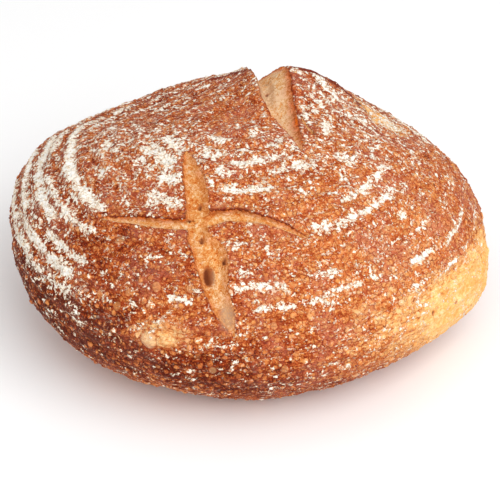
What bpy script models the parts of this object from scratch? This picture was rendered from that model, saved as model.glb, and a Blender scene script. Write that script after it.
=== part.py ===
"""A round sourdough loaf, baked free-standing after proving in a coiled cane basket.

The loaf is one solid. Its skin starts as a net in flat basket coordinates, where a point's distance from
the middle is the way over the crust from the top centre, and its direction is the direction seen from
above. The net is laid over the loaf's form, and then raised and sunk along its own normals for the rings
that the basket left, the four slashes, their lifted lips, the holes in the crumb and the crags of the crust.

Lengths are metres and angles are degrees. +Z is up, -Y is the front, and the origin is the middle of the
base.
"""

import math

import bmesh
import bpy
import numpy as np
from mathutils import Vector, noise
from mathutils.geometry import delaunay_2d_cdt

# Driving dimensions
LOAF_RADIUS = 0.125
LOAF_HEIGHT = 0.117
WIDEST_LEVEL = 0.048
BASE_RADIUS = 0.086
OVAL = 0.04
OVAL_TURN = 4.0
TOP_LEAN = (-0.006, 0.002)

# How full the dome and the underside are: 2 is an ellipse, more is fuller
DOME_FULLNESS_OUT = 2.25
DOME_FULLNESS_UP = 1.95
UNDER_FULLNESS = 1.5

# Swellings and hollows of the side: direction, level, how far out, spread in direction, spread in level
SIDE_BULGES = {
    "golden lobe at the right": (-16, 0.030, 0.0070, 16, 0.022),
    "foot at the front left": (238, 0.012, -0.0020, 26, 0.020),
    "foot at the front right": (300, 0.012, -0.0030, 22, 0.020),
    "left shoulder": (158, 0.068, 0.0060, 20, 0.022),
}
# Swellings and hollows of the top: x, y, rise, spread in x, spread in y
TOP_HUMPS = {
    "crest by the back cross": (0.024, 0.046, 0.0115, 0.034, 0.026),
    "dip at the back left": (-0.058, 0.052, -0.0115, 0.040, 0.036),
    "dip at the back right": (0.078, 0.050, -0.0070, 0.028, 0.036),
}

# The rings of the basket
RING_PITCH = 0.0105
RING_RISE = 0.00060
RINGS_STRONGEST_AT = 190
RINGS_STRENGTH = (0.4, 1.0)
RINGS_END_AT_SHARE = (1.0, 1.35)

# The slashes, in flat basket coordinates: x, y and the width of the opening, along the blade's way. The
# two crosses lie about point-symmetric about the middle of the pattern. Each pair of values is for the
# side left of the blade's way and the side right of it. A wall falls over its run, or over its share of a
# narrow slash's half width. The crown is how much the floor rises to its middle, as a share of the depth.
SLASHES = {
    "front long": {
        "stations": [
            (-0.0270, -0.024, 0.0010),
            (-0.0246, -0.042, 0.0092),
            (-0.0220, -0.062, 0.0128),
            (-0.0221, -0.084, 0.0124),
            (-0.0206, -0.091, 0.0130),
            (-0.0166, -0.097, 0.0174),
            (-0.0156, -0.104, 0.0176),
            (-0.0144, -0.115, 0.0144),
            (-0.0110, -0.127, 0.0115),
            (-0.0065, -0.140, 0.0010),
        ],
        "depth": 0.0046,
        "crown": 0.22,
        "lip_rise": (0.0014, 0.0012),
        "wall_run": (0.0052, 0.0016),
        "wall_share": (0.8, 0.8),
    },
    "front cross": {
        "stations": [
            (-0.0765, -0.0600, 0.0004),
            (-0.0660, -0.0655, 0.0032),
            (-0.0525, -0.0710, 0.0045),
            (-0.0375, -0.0766, 0.0060),
            (-0.0220, -0.0785, 0.0080),
            (-0.0070, -0.0748, 0.0094),
            (0.0080, -0.0760, 0.0062),
            (0.0220, -0.0794, 0.0040),
            (0.0310, -0.0828, 0.0022),
            (0.0410, -0.0860, 0.0006),
        ],
        "depth": 0.0034,
        "crown": 0.22,
        "lip_rise": (0.0012, 0.0012),
        "wall_run": (0.0011, 0.0026),
        "wall_share": (0.8, 0.8),
    },
    "back long": {
        "stations": [
            (0.0345, -0.0260, 0.0008),
            (0.0293, -0.0100, 0.0070),
            (0.0243, 0.0050, 0.0130),
            (0.0214, 0.0200, 0.0160),
            (0.0200, 0.0360, 0.0184),
            (0.0166, 0.0560, 0.0185),
            (0.0140, 0.0740, 0.0180),
            (0.0120, 0.0920, 0.0160),
            (0.0100, 0.1080, 0.0110),
            (0.0085, 0.1220, 0.0010),
        ],
        "depth": 0.0105,
        "crown": 0.05,
        "lip_rise": (0.0022, 0.0012),
        "wall_run": (0.0016, 0.0125),
        "wall_share": (0.6, 1.35),
    },
    "back cross": {
        "stations": [
            (0.0725, 0.0225, 0.0004),
            (0.0695, 0.0365, 0.0036),
            (0.0600, 0.0490, 0.0060),
            (0.0420, 0.0520, 0.0085),
            (0.0210, 0.0545, 0.0095),
            (0.0030, 0.0640, 0.0065),
            (-0.0160, 0.0740, 0.0038),
            (-0.0340, 0.0800, 0.0004),
        ],
        "depth": 0.0042,
        "crown": 0.22,
        "lip_rise": (0.0018, 0.0006),
        "wall_run": (0.0016, 0.0024),
        "wall_share": (0.8, 0.8),
    },
}
# A slash has its full depth where its half width is over this share of its greatest width
FULL_DEPTH_FROM = 0.38
LIP_SPREAD = 0.0060
THINNEST_CUT = 0.0004

# Open holes in the slashes' crumb, in flat basket coordinates: x, y, half length, half width, depth
CRUMB_HOLES = {
    "large oval hole": (-0.0186, -0.1076, 0.0056, 0.0031, 0.0036),
    "hole by the right lip": (-0.0085, -0.1010, 0.0022, 0.0016, 0.0020),
    "hole below the cross": (-0.0205, -0.0880, 0.0022, 0.0016, 0.0018),
    "hole above the cross": (-0.0205, -0.0662, 0.0020, 0.0017, 0.0020),
}

# Crags of the crust: rise, and the distance between them
CRAGS = ((0.0011, 0.030), (0.0005, 0.012))
# The stretch of the profile, before the base, over which all relief dies out
BASE_FADE = 0.35

# Fineness of the net
RING_STEP = RING_PITCH / 2
POINT_STEP = 0.0056
SLASH_STEP = 0.0028
UNDER_RINGS = 8
HOLE_POINTS = 8
BANK_WIDTH = 0.0045
# Half widths from which a slash has lips of its own, and feet as well, in the net
LIPS_FROM = 0.0009
WIDE_FROM = 0.0031
# Distances that the net's points keep from other slashes, from holes and from the slashes' lines
CLEAR_OF_CUTS = 0.0014
CLEAR_OF_HOLES = 0.0012
CLEAR_OF_LINES = 0.0026
MERGE_WITHIN = 0.00001

ARC_SAMPLES = 401
PATH_SAMPLES = 12


def clear_scene():
    for thing in list(bpy.data.objects):
        bpy.data.objects.remove(thing, do_unlink=True)


def crust_material():
    material = bpy.data.materials.new("baked crust")
    material.use_nodes = True
    surface = material.node_tree.nodes["Principled BSDF"]
    surface.inputs["Base Color"].default_value = (0.46, 0.16, 0.05, 1)
    surface.inputs["Roughness"].default_value = 0.72
    surface.inputs["Metallic"].default_value = 0.0
    return material


def plain_profile(share):
    """Radius ratio and height of the plain loaf. The share of the profile is 0 at the top centre, 1 at the
    widest level and 2 at the base's edge."""
    upper = np.clip(share, 0, 1) * math.pi / 2
    lower = np.clip(share - 1, 0, 1) * math.pi / 2
    foot = BASE_RADIUS / LOAF_RADIUS
    dome_out = np.sin(upper) ** (2 / DOME_FULLNESS_OUT)
    under_out = foot + (1 - foot) * np.clip(np.cos(lower), 0, 1) ** (2 / UNDER_FULLNESS)
    dome_up = np.clip(np.cos(upper), 0, 1) ** (2 / DOME_FULLNESS_UP)
    above = share <= 1
    ratio = np.where(above, dome_out, under_out)
    level = np.where(
        above,
        WIDEST_LEVEL + (LOAF_HEIGHT - WIDEST_LEVEL) * dome_up,
        WIDEST_LEVEL * (1 - np.sin(lower)),
    )
    return ratio, level


def arc_table():
    """Shares, and the way over the crust from the top centre to each of them."""
    shares = np.linspace(0, 2, ARC_SAMPLES)
    ratio, level = plain_profile(shares)
    steps = np.hypot(np.diff(ratio * LOAF_RADIUS), np.diff(level))
    return shares, np.concatenate([[0], np.cumsum(steps)])


def turn_difference(turn, degrees):
    return (turn - math.radians(degrees) + math.pi) % (2 * math.pi) - math.pi


def loaf_form(turn, share):
    """Points of the smooth loaf for directions in radians and shares of the profile."""
    ratio, level = plain_profile(share)
    out = ratio * LOAF_RADIUS * (1 + OVAL * np.cos(2 * turn_difference(turn, OVAL_TURN)))
    for direction, height, amount, spread, level_spread in SIDE_BULGES.values():
        aside = turn_difference(turn, direction) / math.radians(spread)
        above = (level - height) / level_spread
        out = out + amount * np.exp(-(aside**2) - above**2) * np.minimum(1, ratio * 1.2)
    dome = np.clip((level - WIDEST_LEVEL) / (LOAF_HEIGHT - WIDEST_LEVEL), 0, 1)
    x = out * np.cos(turn) + TOP_LEAN[0] * dome
    y = out * np.sin(turn) + TOP_LEAN[1] * dome
    z = level
    for hump_x, hump_y, rise, spread_x, spread_y in TOP_HUMPS.values():
        bell = np.exp(-(((x - hump_x) / spread_x) ** 2) - ((y - hump_y) / spread_y) ** 2)
        z = z + rise * bell * np.clip(dome * 3, 0, 1)
    return np.stack([x, y, z], axis=-1)


def smooth_path(stations):
    """A Catmull-Rom curve through the stations, with PATH_SAMPLES steps to each."""
    ends = [stations[0], *stations, stations[-1]]
    knots = np.array(ends, float)
    steps = np.linspace(0, 1, PATH_SAMPLES, endpoint=False)[:, None]
    parts = []
    for before, start, end, after in zip(knots, knots[1:], knots[2:], knots[3:]):
        parts.append(
            start
            + 0.5 * steps * (end - before)
            + steps**2 * (before - 2.5 * start + 2 * end - 0.5 * after)
            + steps**3 * (1.5 * (start - end) + 0.5 * (after - before))
        )
    parts.append(knots[-1:])
    path = np.concatenate(parts)
    path[:, 2] = np.maximum(path[:, 2], THINNEST_CUT)
    return path


def slash_place(points, path):
    """How far inside the slash each flat point is, the half width there, and 1 left of the blade's way or -1
    right of it."""
    away = points[:, None, :] - path[None, :, :2]
    distance = np.hypot(away[..., 0], away[..., 1])
    half = path[:, 2] / 2
    nearest = np.argmax(half[None, :] - distance, axis=1)
    rows = np.arange(len(points))
    along = np.gradient(path[:, :2], axis=0)[nearest]
    offset = away[rows, nearest]
    side = np.sign(along[:, 0] * offset[:, 1] - along[:, 1] * offset[:, 0])
    return half[nearest] - distance[rows, nearest], half[nearest], side


def slash_relief(points):
    """Height of the slashes' lips less the depth of their openings, at flat points."""
    depth = np.zeros(len(points))
    lips = np.zeros(len(points))
    for slash in SLASHES.values():
        path = smooth_path(slash["stations"])
        inside, half, side = slash_place(points, path)
        fullness = np.clip(half / (path[:, 2].max() * FULL_DEPTH_FROM), 0, 1)
        walls = np.where(inside > 0, 1.0, 0.0)
        for sign, run, wall_share in zip((1, -1), slash["wall_run"], slash["wall_share"]):
            from_lip = half - sign * side * (half - inside)
            walls = walls * np.clip(from_lip / np.minimum(run, half * wall_share), 0, 1)
        crown = 1 - slash["crown"] * np.clip(inside / half, 0, 1) ** 2
        depth = np.maximum(depth, slash["depth"] * fullness * walls * crown)
        left, right = slash["lip_rise"]
        rise = np.where(side > 0, left, right) * np.sqrt(fullness)
        lips = np.maximum(lips, rise * np.exp(-((np.minimum(inside, 0) / LIP_SPREAD) ** 2)))
    for x, y, half_length, half_width, hole_depth in CRUMB_HOLES.values():
        reach = np.hypot((points[:, 0] - x) / half_width, (points[:, 1] - y) / half_length)
        depth = depth + hole_depth * np.sqrt(np.clip(1 - reach**2, 0, 1))
    return lips - depth


def ring_relief(arc, turn, share):
    """Height of the basket's rings. They are stronger on one side, and end below the widest level."""
    weakest, strongest = RINGS_STRENGTH
    towards = 0.5 + 0.5 * np.cos(turn_difference(turn, RINGS_STRONGEST_AT))
    start, end = RINGS_END_AT_SHARE
    strength = (weakest + (strongest - weakest) * towards) * np.clip((end - share) / (end - start), 0, 1)
    return RING_RISE * strength * np.cos(2 * math.pi * arc / RING_PITCH)


def crag_height(place):
    return sum(rise * noise.noise(Vector(place) / pitch) for rise, pitch in CRAGS)


def inside_of_any(points, but=None):
    """How far inside the nearest slash each flat point is, leaving out the slash named."""
    found = np.full(len(points), -1.0)
    for name, slash in SLASHES.items():
        if name != but:
            found = np.maximum(found, slash_place(points, smooth_path(slash["stations"]))[0])
    return found


def slash_lines():
    """Flat points along the middle, the feet, the lips and the banks of each slash, and the edges that lips
    and feet keep in the net. Where another slash cuts a line, its points there are left out."""
    points = []
    edges = []
    for name, slash in SLASHES.items():
        path = smooth_path(slash["stations"])
        run = np.concatenate([[0], np.cumsum(np.hypot(*np.diff(path[:, :2], axis=0).T))])
        count = max(4, round(run[-1] / SLASH_STEP))
        places = np.linspace(0, run[-1], count + 1)
        line = np.stack([np.interp(places, run, path[:, axis]) for axis in range(3)], axis=-1)
        middle = line[:, :2]
        along = np.gradient(middle, axis=0)
        across = np.stack([-along[:, 1], along[:, 0]], axis=-1)
        across /= np.linalg.norm(across, axis=1, keepdims=True)
        half = line[:, 2] / 2
        runs = zip(slash["wall_run"], slash["wall_share"])
        feet = [half - np.minimum(run, half * wall_share) for run, wall_share in runs]
        wide = (half > WIDE_FROM) & (feet[0] + feet[1] > CLEAR_OF_CUTS)
        every_other = np.arange(len(line)) % 2 == 0
        # Where a foot reaches the middle, it takes the place of the middle line
        rows = [(middle, ~wide | (np.minimum(*feet) > 0), False)]
        for side, foot in zip((1, -1), feet):
            rows.append((middle + side * foot[:, None] * across, wide, True))
            rows.append((middle + side * half[:, None] * across, half > LIPS_FROM, True))
            bank = half + BANK_WIDTH
            rows.append((middle + side * bank[:, None] * across, every_other, False))
        for row, wanted, kept_as_edge in rows:
            whole = wanted & (inside_of_any(row, but=name) < -CLEAR_OF_CUTS)
            whole &= away_from_holes(row) > CLEAR_OF_HOLES
            before = False
            for place, here in zip(row, whole):
                if here and before and kept_as_edge:
                    edges.append((len(points) - 1, len(points)))
                if here:
                    points.append(place)
                before = here
    return np.array(points), edges


def away_from_holes(points):
    """Distance of each flat point to the nearest point of a hole's rim."""
    rims = hole_points()
    return np.min(np.linalg.norm(points[:, None] - rims[None], axis=2), axis=1)


def hole_points():
    points = []
    for x, y, half_length, half_width, _ in CRUMB_HOLES.values():
        points.append((x, y))
        for step in range(HOLE_POINTS):
            angle = 2 * math.pi * step / HOLE_POINTS
            points.append((x + half_width * math.cos(angle), y + half_length * math.sin(angle)))
    return np.array(points)


def ring_points(arc, radius, first_turn):
    count = max(6, round(2 * math.pi * radius / POINT_STEP))
    turns = first_turn + 2 * math.pi * np.arange(count) / count
    return np.stack([arc * np.cos(turns), arc * np.sin(turns)], axis=-1)


def upper_net(shares, arcs):
    """Flat points and triangles from the top centre to the widest level, the outermost ring last."""
    widest_arc = float(np.interp(1.0, shares, arcs))
    rings = int(widest_arc / RING_STEP)
    points = [np.zeros((1, 2))]
    for ring in range(1, rings):
        arc = ring * RING_STEP
        ratio, _ = plain_profile(np.interp(arc, arcs, shares))
        points.append(ring_points(arc, float(ratio) * LOAF_RADIUS, ring * 0.5))
    crust = np.concatenate(points)
    slashes, edges = slash_lines()
    lines = np.concatenate([slashes, hole_points()])
    rim = ring_points(widest_arc, LOAF_RADIUS, 0.0)
    clear = np.min(np.linalg.norm(crust[:, None] - lines[None], axis=2), axis=1) > CLEAR_OF_LINES
    clear &= inside_of_any(crust) < -CLEAR_OF_LINES
    flat = np.concatenate([lines, crust[clear], rim])
    corners, _, faces, *_ = delaunay_2d_cdt([Vector(point) for point in flat], edges, [], 0, MERGE_WITHIN)
    return np.array([tuple(corner) for corner in corners]), faces, len(rim), widest_arc


def build_net():
    """Vertices in flat coordinates with their shares, and the faces of the closed skin."""
    shares, arcs = arc_table()
    flat, faces, rim_count, widest_arc = upper_net(shares, arcs)
    reach = np.hypot(flat[:, 0], flat[:, 1])
    rim = np.argsort(reach)[-rim_count:]
    rim = rim[np.argsort(np.arctan2(flat[rim, 1], flat[rim, 0]))]
    arc_of = [reach]
    turn_of = [np.arctan2(flat[:, 1], flat[:, 0])]
    share_of = [np.interp(reach, arcs, shares)]
    share_of[0][rim] = 1.0
    faces = [tuple(face) for face in faces]
    last = list(rim)
    count = len(flat)
    for ring in range(1, UNDER_RINGS + 1):
        arc = widest_arc + (arcs[-1] - widest_arc) * ring / UNDER_RINGS
        share = 2.0 if ring == UNDER_RINGS else float(np.interp(arc, arcs, shares))
        arc_of.append(np.full(rim_count, arc))
        turn_of.append(turn_of[0][rim])
        share_of.append(np.full(rim_count, share))
        current = list(range(count, count + rim_count))
        count += rim_count
        for step in range(rim_count):
            after = (step + 1) % rim_count
            faces.append((last[step], current[step], current[after], last[after]))
        last = current
    faces.append(tuple(reversed(last)))
    return np.concatenate(arc_of), np.concatenate(turn_of), np.concatenate(share_of), faces


def build_loaf():
    arc, turn, share, faces = build_net()
    smooth = loaf_form(turn, share)
    mesh = bmesh.new()
    corners = [mesh.verts.new(place) for place in smooth]
    for face in faces:
        mesh.faces.new([corners[index] for index in face])
    bmesh.ops.recalc_face_normals(mesh, faces=mesh.faces)
    mesh.normal_update()
    flat = np.stack([arc * np.cos(turn), arc * np.sin(turn)], axis=-1)
    relief = slash_relief(flat) + ring_relief(arc, turn, share)
    # The relief dies out over the last stretch to the base, whose edge stays flat on the ground
    fade = np.clip((2.0 - share) / BASE_FADE, 0, 1)
    moves = []
    for corner, height, weight in zip(corners, relief, fade):
        moves.append(corner.normal * float((height + crag_height(corner.co)) * weight))
    for corner, move in zip(corners, moves):
        corner.co += move
    bmesh.ops.triangulate(mesh, faces=mesh.faces)
    data = bpy.data.meshes.new("loaf")
    mesh.to_mesh(data)
    mesh.free()
    data.materials.append(crust_material())
    data.shade_smooth()
    loaf = bpy.data.objects.new("loaf", data)
    bpy.context.scene.collection.objects.link(loaf)
    return loaf


clear_scene()
build_loaf()
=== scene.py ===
# A round sourdough loaf, baked free-standing after proving in a coiled cane basket.
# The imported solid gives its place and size. This script gives the crust, the crumb in the slashes,
# the flour on the basket rings, and the grains, blisters and bran that stand on the crust.
# Lengths are metres and angles are degrees, unless a name says otherwise.
import math

import bpy
import numpy as np
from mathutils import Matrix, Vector, kdtree, noise
from mathutils.geometry import delaunay_2d_cdt


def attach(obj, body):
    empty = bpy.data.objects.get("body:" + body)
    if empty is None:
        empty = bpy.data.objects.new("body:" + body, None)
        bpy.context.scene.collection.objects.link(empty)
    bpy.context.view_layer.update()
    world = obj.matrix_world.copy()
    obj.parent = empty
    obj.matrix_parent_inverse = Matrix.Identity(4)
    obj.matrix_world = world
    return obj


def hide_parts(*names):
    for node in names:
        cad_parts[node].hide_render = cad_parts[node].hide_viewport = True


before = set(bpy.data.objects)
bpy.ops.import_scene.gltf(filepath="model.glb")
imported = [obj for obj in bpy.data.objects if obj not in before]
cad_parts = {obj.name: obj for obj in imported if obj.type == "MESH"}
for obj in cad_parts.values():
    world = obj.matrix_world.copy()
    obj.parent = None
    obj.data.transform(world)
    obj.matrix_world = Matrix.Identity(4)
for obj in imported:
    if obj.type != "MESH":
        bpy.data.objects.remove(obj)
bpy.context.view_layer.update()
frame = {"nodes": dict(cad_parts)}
print("frame loaded:", ", ".join(frame["nodes"]))

# The loaf's form. A point of the crust is named by its way over the crust from the top centre and by
# its direction from above; the share of the profile is 0 at the top centre, 1 at the widest level and
# 2 at the base's edge.
form = {
    "radius": 0.125,
    "height": 0.117,
    "widestLevel": 0.048,
    "baseRadius": 0.086,
    "oval": 0.04,
    "ovalTurn": 4.0,
    "topLean": (-0.006, 0.002),
    "domeOut": 2.25,  # 2 is an ellipse, more is fuller
    "domeUp": 1.95,
    "bulgeFull": 1.2,  # how soon, going outwards, a side bulge has its full size
    "humpFull": 3,  # how soon, above the widest level, a top hump has its full size
    "underFullness": 1.5,
    # direction, level, how far out, spread in direction, spread in level
    "sideBulges": {
        "golden lobe at the right": (-16, 0.030, 0.0070, 16, 0.022),
        "foot at the front left": (238, 0.012, -0.0020, 26, 0.020),
        "foot at the front right": (300, 0.012, -0.0030, 22, 0.020),
        "left shoulder": (158, 0.068, 0.0060, 20, 0.022),
    },
    # x, y, rise, spread in x, spread in y
    "topHumps": {
        "crest by the back cross": (0.024, 0.046, 0.0115, 0.034, 0.026),
        "dip at the back left": (-0.058, 0.052, -0.0115, 0.040, 0.036),
        "dip at the back right": (0.078, 0.050, -0.0070, 0.028, 0.036),
    },
    "crags": ((0.0011, 0.030), (0.0005, 0.012)),  # rise, and the distance between them
    "baseFade": 0.35,  # share of the profile over which relief dies out towards the base
    "arcSamples": 401,
}


def plainProfile(share):
    upper = np.clip(share, 0, 1) * math.pi / 2
    lower = np.clip(share - 1, 0, 1) * math.pi / 2
    foot = form["baseRadius"] / form["radius"]
    domeOut = np.sin(upper) ** (2 / form["domeOut"])
    underOut = foot + (1 - foot) * np.clip(np.cos(lower), 0, 1) ** (2 / form["underFullness"])
    domeUp = np.clip(np.cos(upper), 0, 1) ** (2 / form["domeUp"])
    ratio = np.where(share <= 1, domeOut, underOut)
    dome = form["widestLevel"] + (form["height"] - form["widestLevel"]) * domeUp
    under = form["widestLevel"] * (1 - np.sin(lower))
    return ratio, np.where(share <= 1, dome, under)


def turnDifference(turn, degrees):
    return (turn - math.radians(degrees) + math.pi) % (2 * math.pi) - math.pi


def loafForm(turn, share):
    ratio, level = plainProfile(share)
    swell = 1 + form["oval"] * np.cos(2 * turnDifference(turn, form["ovalTurn"]))
    out = ratio * form["radius"] * swell
    for direction, height, amount, spread, levelSpread in form["sideBulges"].values():
        aside = turnDifference(turn, direction) / math.radians(spread)
        above = (level - height) / levelSpread
        out = out + amount * np.exp(-(aside**2) - above**2) * np.minimum(1, ratio * form["bulgeFull"])
    dome = np.clip((level - form["widestLevel"]) / (form["height"] - form["widestLevel"]), 0, 1)
    x = out * np.cos(turn) + form["topLean"][0] * dome
    y = out * np.sin(turn) + form["topLean"][1] * dome
    z = level
    for humpX, humpY, rise, spreadX, spreadY in form["topHumps"].values():
        bell = np.exp(-(((x - humpX) / spreadX) ** 2) - ((y - humpY) / spreadY) ** 2)
        z = z + rise * bell * np.clip(dome * form["humpFull"], 0, 1)
    return np.stack([x, y, z], axis=-1)


shareSteps = np.linspace(0, 2, form["arcSamples"])
ratioSteps, levelSteps = plainProfile(shareSteps)
arcSteps = np.concatenate(
    [[0], np.cumsum(np.hypot(np.diff(ratioSteps * form["radius"]), np.diff(levelSteps)))]
)
baseArc = arcSteps[-1]


# The slashes, in flat basket coordinates: x, y and the width of the opening along the blade's way.
# Each pair of values is for the side left of the blade's way and the side right of it.
slashes = {
    "front long": {
        "stations": (
            (-0.0270, -0.024, 0.0010),
            (-0.0246, -0.042, 0.0092),
            (-0.0220, -0.062, 0.0128),
            (-0.0221, -0.084, 0.0124),
            (-0.0206, -0.0910, 0.0130),
            (-0.0166, -0.0970, 0.0174),
            (-0.0156, -0.104, 0.0176),
            (-0.0144, -0.115, 0.0144),
            (-0.0110, -0.127, 0.0115),
            (-0.0065, -0.140, 0.0010),
        ),
        "depth": 0.0046,
        "crown": 0.22,
        "lipRise": (0.0014, 0.0012),
        "lipReach": (0.0002, 0.0006),
        "wallRun": (0.0052, 0.0016),
        "wallShare": (0.8, 0.8),
        "brownAndShade": (0.42, 0.8),
        "brownRun": (0.0036, 0.0014),
        "rimBakeAndShade": (0.1, 0.3),
        "rimWidth": 0.0009,
        "pale": 0.0,
    },
    "front cross": {
        "stations": (
            (-0.0765, -0.0595, 0.0004),
            (-0.0660, -0.0650, 0.0038),
            (-0.0525, -0.0706, 0.0056),
            (-0.0375, -0.0762, 0.0070),
            (-0.0220, -0.0784, 0.0084),
            (-0.0070, -0.0748, 0.0094),
            (0.0080, -0.0762, 0.0070),
            (0.0220, -0.0798, 0.0048),
            (0.0310, -0.0830, 0.0028),
            (0.0410, -0.0860, 0.0006),
        ),
        "depth": 0.0034,
        "crown": 0.22,
        "lipRise": (0.0012, 0.0012),
        "lipReach": (0.0012, 0.0003),
        "wallRun": (0.0011, 0.0026),
        "wallShare": (0.8, 0.8),
        "brownAndShade": (1.0, 0.1),
        "brownRun": (0.0012, 0.0008),
        "rimBakeAndShade": (0.8, 0.1),
        "rimWidth": 0.0010,
        "pale": 0.06,
    },
    "back long": {
        "stations": (
            (0.0345, -0.0260, 0.0008),
            (0.0293, -0.0100, 0.0070),
            (0.0243, 0.0050, 0.0130),
            (0.0214, 0.0200, 0.0160),
            (0.0200, 0.0360, 0.0184),
            (0.0166, 0.0560, 0.0185),
            (0.0140, 0.0740, 0.0180),
            (0.0120, 0.0920, 0.0160),
            (0.0100, 0.1080, 0.0110),
            (0.0085, 0.1220, 0.0010),
        ),
        "depth": 0.0105,
        "crown": 0.05,
        "lipRise": (0.0022, 0.0012),
        "lipReach": (0.0002, 0.0004),
        "wallRun": (0.0016, 0.0125),
        "wallShare": (0.6, 1.35),
        "brownAndShade": (0.5, 0.95),
        "brownRun": (0.0008, 0.0034),
        "rimBakeAndShade": (0.2, 0.5),
        "rimWidth": 0.0010,
        "pale": 0.14,
    },
    "back cross": {
        "stations": (
            (0.0725, 0.0225, 0.0004),
            (0.0695, 0.0365, 0.0036),
            (0.0600, 0.0490, 0.0060),
            (0.0420, 0.0520, 0.0085),
            (0.0210, 0.0545, 0.0095),
            (0.0030, 0.0640, 0.0065),
            (-0.0160, 0.0740, 0.0038),
            (-0.0340, 0.0800, 0.0004),
        ),
        "depth": 0.0042,
        "crown": 0.22,
        "lipRise": (0.0018, 0.0006),
        "lipReach": (0.0012, 0.0002),
        "wallRun": (0.0016, 0.0024),
        "wallShare": (0.8, 0.8),
        "brownAndShade": (1.0, 0.3),
        "brownRun": (0.0018, 0.0012),
        "rimBakeAndShade": (1.0, 0.2),
        "rimWidth": 0.0036,
        "pale": 0.05,
    },
    "tear beside the back slash": {
        "stations": (
            (0.0305, 0.0110, 0.0006),
            (0.0342, 0.0010, 0.0017),
            (0.0385, -0.0080, 0.0016),
            (0.0440, -0.0165, 0.0004),
        ),
        "depth": 0.0007,
        "crown": 0.22,
        "lipRise": (0.0012, 0.0004),
        "lipReach": (0.0004, 0.0002),
        "wallRun": (0.0008, 0.0012),
        "wallShare": (0.8, 0.8),
        "brownAndShade": (0.3, 0.2),
        "brownRun": (0.0008, 0.0008),
        "rimBakeAndShade": (0.35, 0.1),
        "rimWidth": 0.0010,
        "pale": 0.0,
    },
}
slashShape = {
    "pathSamples": 12,
    "thinnestCut": 0.0004,
    "fullDepthFrom": 0.38,  # share of a slash's greatest width
    "lipSpread": 0.0060,
    "lipReachSpread": 0.0016,
    "lipPullFrom": 0.0004,  # how far inside the opening the lips' reach begins
    "wander": 0.12,
    "wanderPitch": 0.006,
    "fineWander": (0.6, 0.4),  # strength and pitch of the finer wander, as shares
    "brownMost": 0.8,  # share of the half width that the browning and its painted shade cover at the most
    "crumbEdge": (-0.0009, 0.0011),
    "crumbFromWidth": (0.0003, 0.0010),
    "rimFullness": 1.5,
    "holeShade": (0.70, 0.6),  # painted shade, darkest under the hole's left edge
    "holeShadeEdge": (-1.15, -0.7),
    "filmEdge": (-1.3, -0.4),
    "blisterEdge": 1.3,
}
# Open holes in the crumb and in the crust, each sunk in and filled with painted shade: x, y, half length,
# half width, depth
holes = {
    "large oval hole": (-0.0186, -0.1076, 0.0056, 0.0031, 0.0036),
    "hole by the right lip": (-0.0085, -0.1010, 0.0022, 0.0016, 0.0020),
    "hole below the cross": (-0.0205, -0.0880, 0.0022, 0.0016, 0.0018),
    "hole above the cross": (-0.0205, -0.0662, 0.0020, 0.0017, 0.0020),
    "small hole at the left lip": (-0.0262, -0.0735, 0.0012, 0.0010, 0.0014),
    "pit at the right": (0.1296, -0.0146, 0.0018, 0.0017, 0.0018),
    "pit in the golden lobe": (0.1190, -0.0981, 0.0015, 0.0014, 0.0013),
    "hole in the back slash": (0.0150, 0.0330, 0.0018, 0.0016, 0.0016),
}
# Large round blisters of the crust: x, y, radius, rise, and how pale
blisters = {
    "pale blister at the front left": (-0.0600, -0.1345, 0.0056, 0.0011, 1.0),
    "above the cross's left end": (-0.0640, -0.0790, 0.0030, 0.0008, 0.3),
    "left of the front slash": (-0.0285, -0.1134, 0.0026, 0.0009, 0.4),
    "further left": (-0.0475, -0.1091, 0.0029, 0.0008, 0.2),
    "at the left": (-0.0729, -0.1122, 0.0027, 0.0008, 0.1),
    "at the left, further out": (-0.0821, -0.1023, 0.0026, 0.0008, 0.0),
    "low left": (-0.0635, -0.1078, 0.0024, 0.0008, 0.2),
    "low in front": (-0.0235, -0.1571, 0.0030, 0.0009, 0.3),
    "low at the right": (0.0242, -0.1574, 0.0031, 0.0009, 0.2),
    "right of the front slash": (0.0170, -0.1335, 0.0023, 0.0007, 0.3),
    "at the right, high": (0.0560, -0.0560, 0.0022, 0.0006, 0.1),
    "on the back": (-0.0300, 0.1180, 0.0032, 0.0009, 0.2),
    "on the back, low": (0.0420, 0.1420, 0.0036, 0.0010, 0.1),
}
# Patches of thin grey film over the crumb: x, y, half length, half width
films = {
    "film at the foot of the front slash": (-0.0098, -0.1290, 0.0085, 0.0050),
    "film in the back slash": (0.0160, 0.0310, 0.0150, 0.0050),
    "film in the large hole": (-0.0160, -0.1086, 0.0050, 0.0018),
}


def smoothPath(stations):  # a Catmull-Rom curve through the stations
    knots = np.array([stations[0], *stations, stations[-1]], float)
    steps = np.linspace(0, 1, slashShape["pathSamples"], endpoint=False)[:, None]
    parts = []
    for before, start, end, after in zip(knots, knots[1:], knots[2:], knots[3:]):
        parts.append(
            start
            + 0.5 * steps * (end - before)
            + steps**2 * (before - 2.5 * start + 2 * end - 0.5 * after)
            + steps**3 * (1.5 * (start - end) + 0.5 * (after - before))
        )
    path = np.concatenate([*parts, knots[-1:]])
    path[:, 2] = np.maximum(path[:, 2], slashShape["thinnestCut"])
    return path


def slashPath(slash):  # the blade's way, with a width that wanders a little
    path = smoothPath(slash["stations"])
    finer, closer = slashShape["fineWander"]
    for place in path:
        middle = Vector((place[0], place[1], 0))
        wander = noise.noise(middle / slashShape["wanderPitch"])
        wander += finer * noise.noise(middle / (slashShape["wanderPitch"] * closer))
        place[2] *= 1 + slashShape["wander"] * wander
    return path


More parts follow.
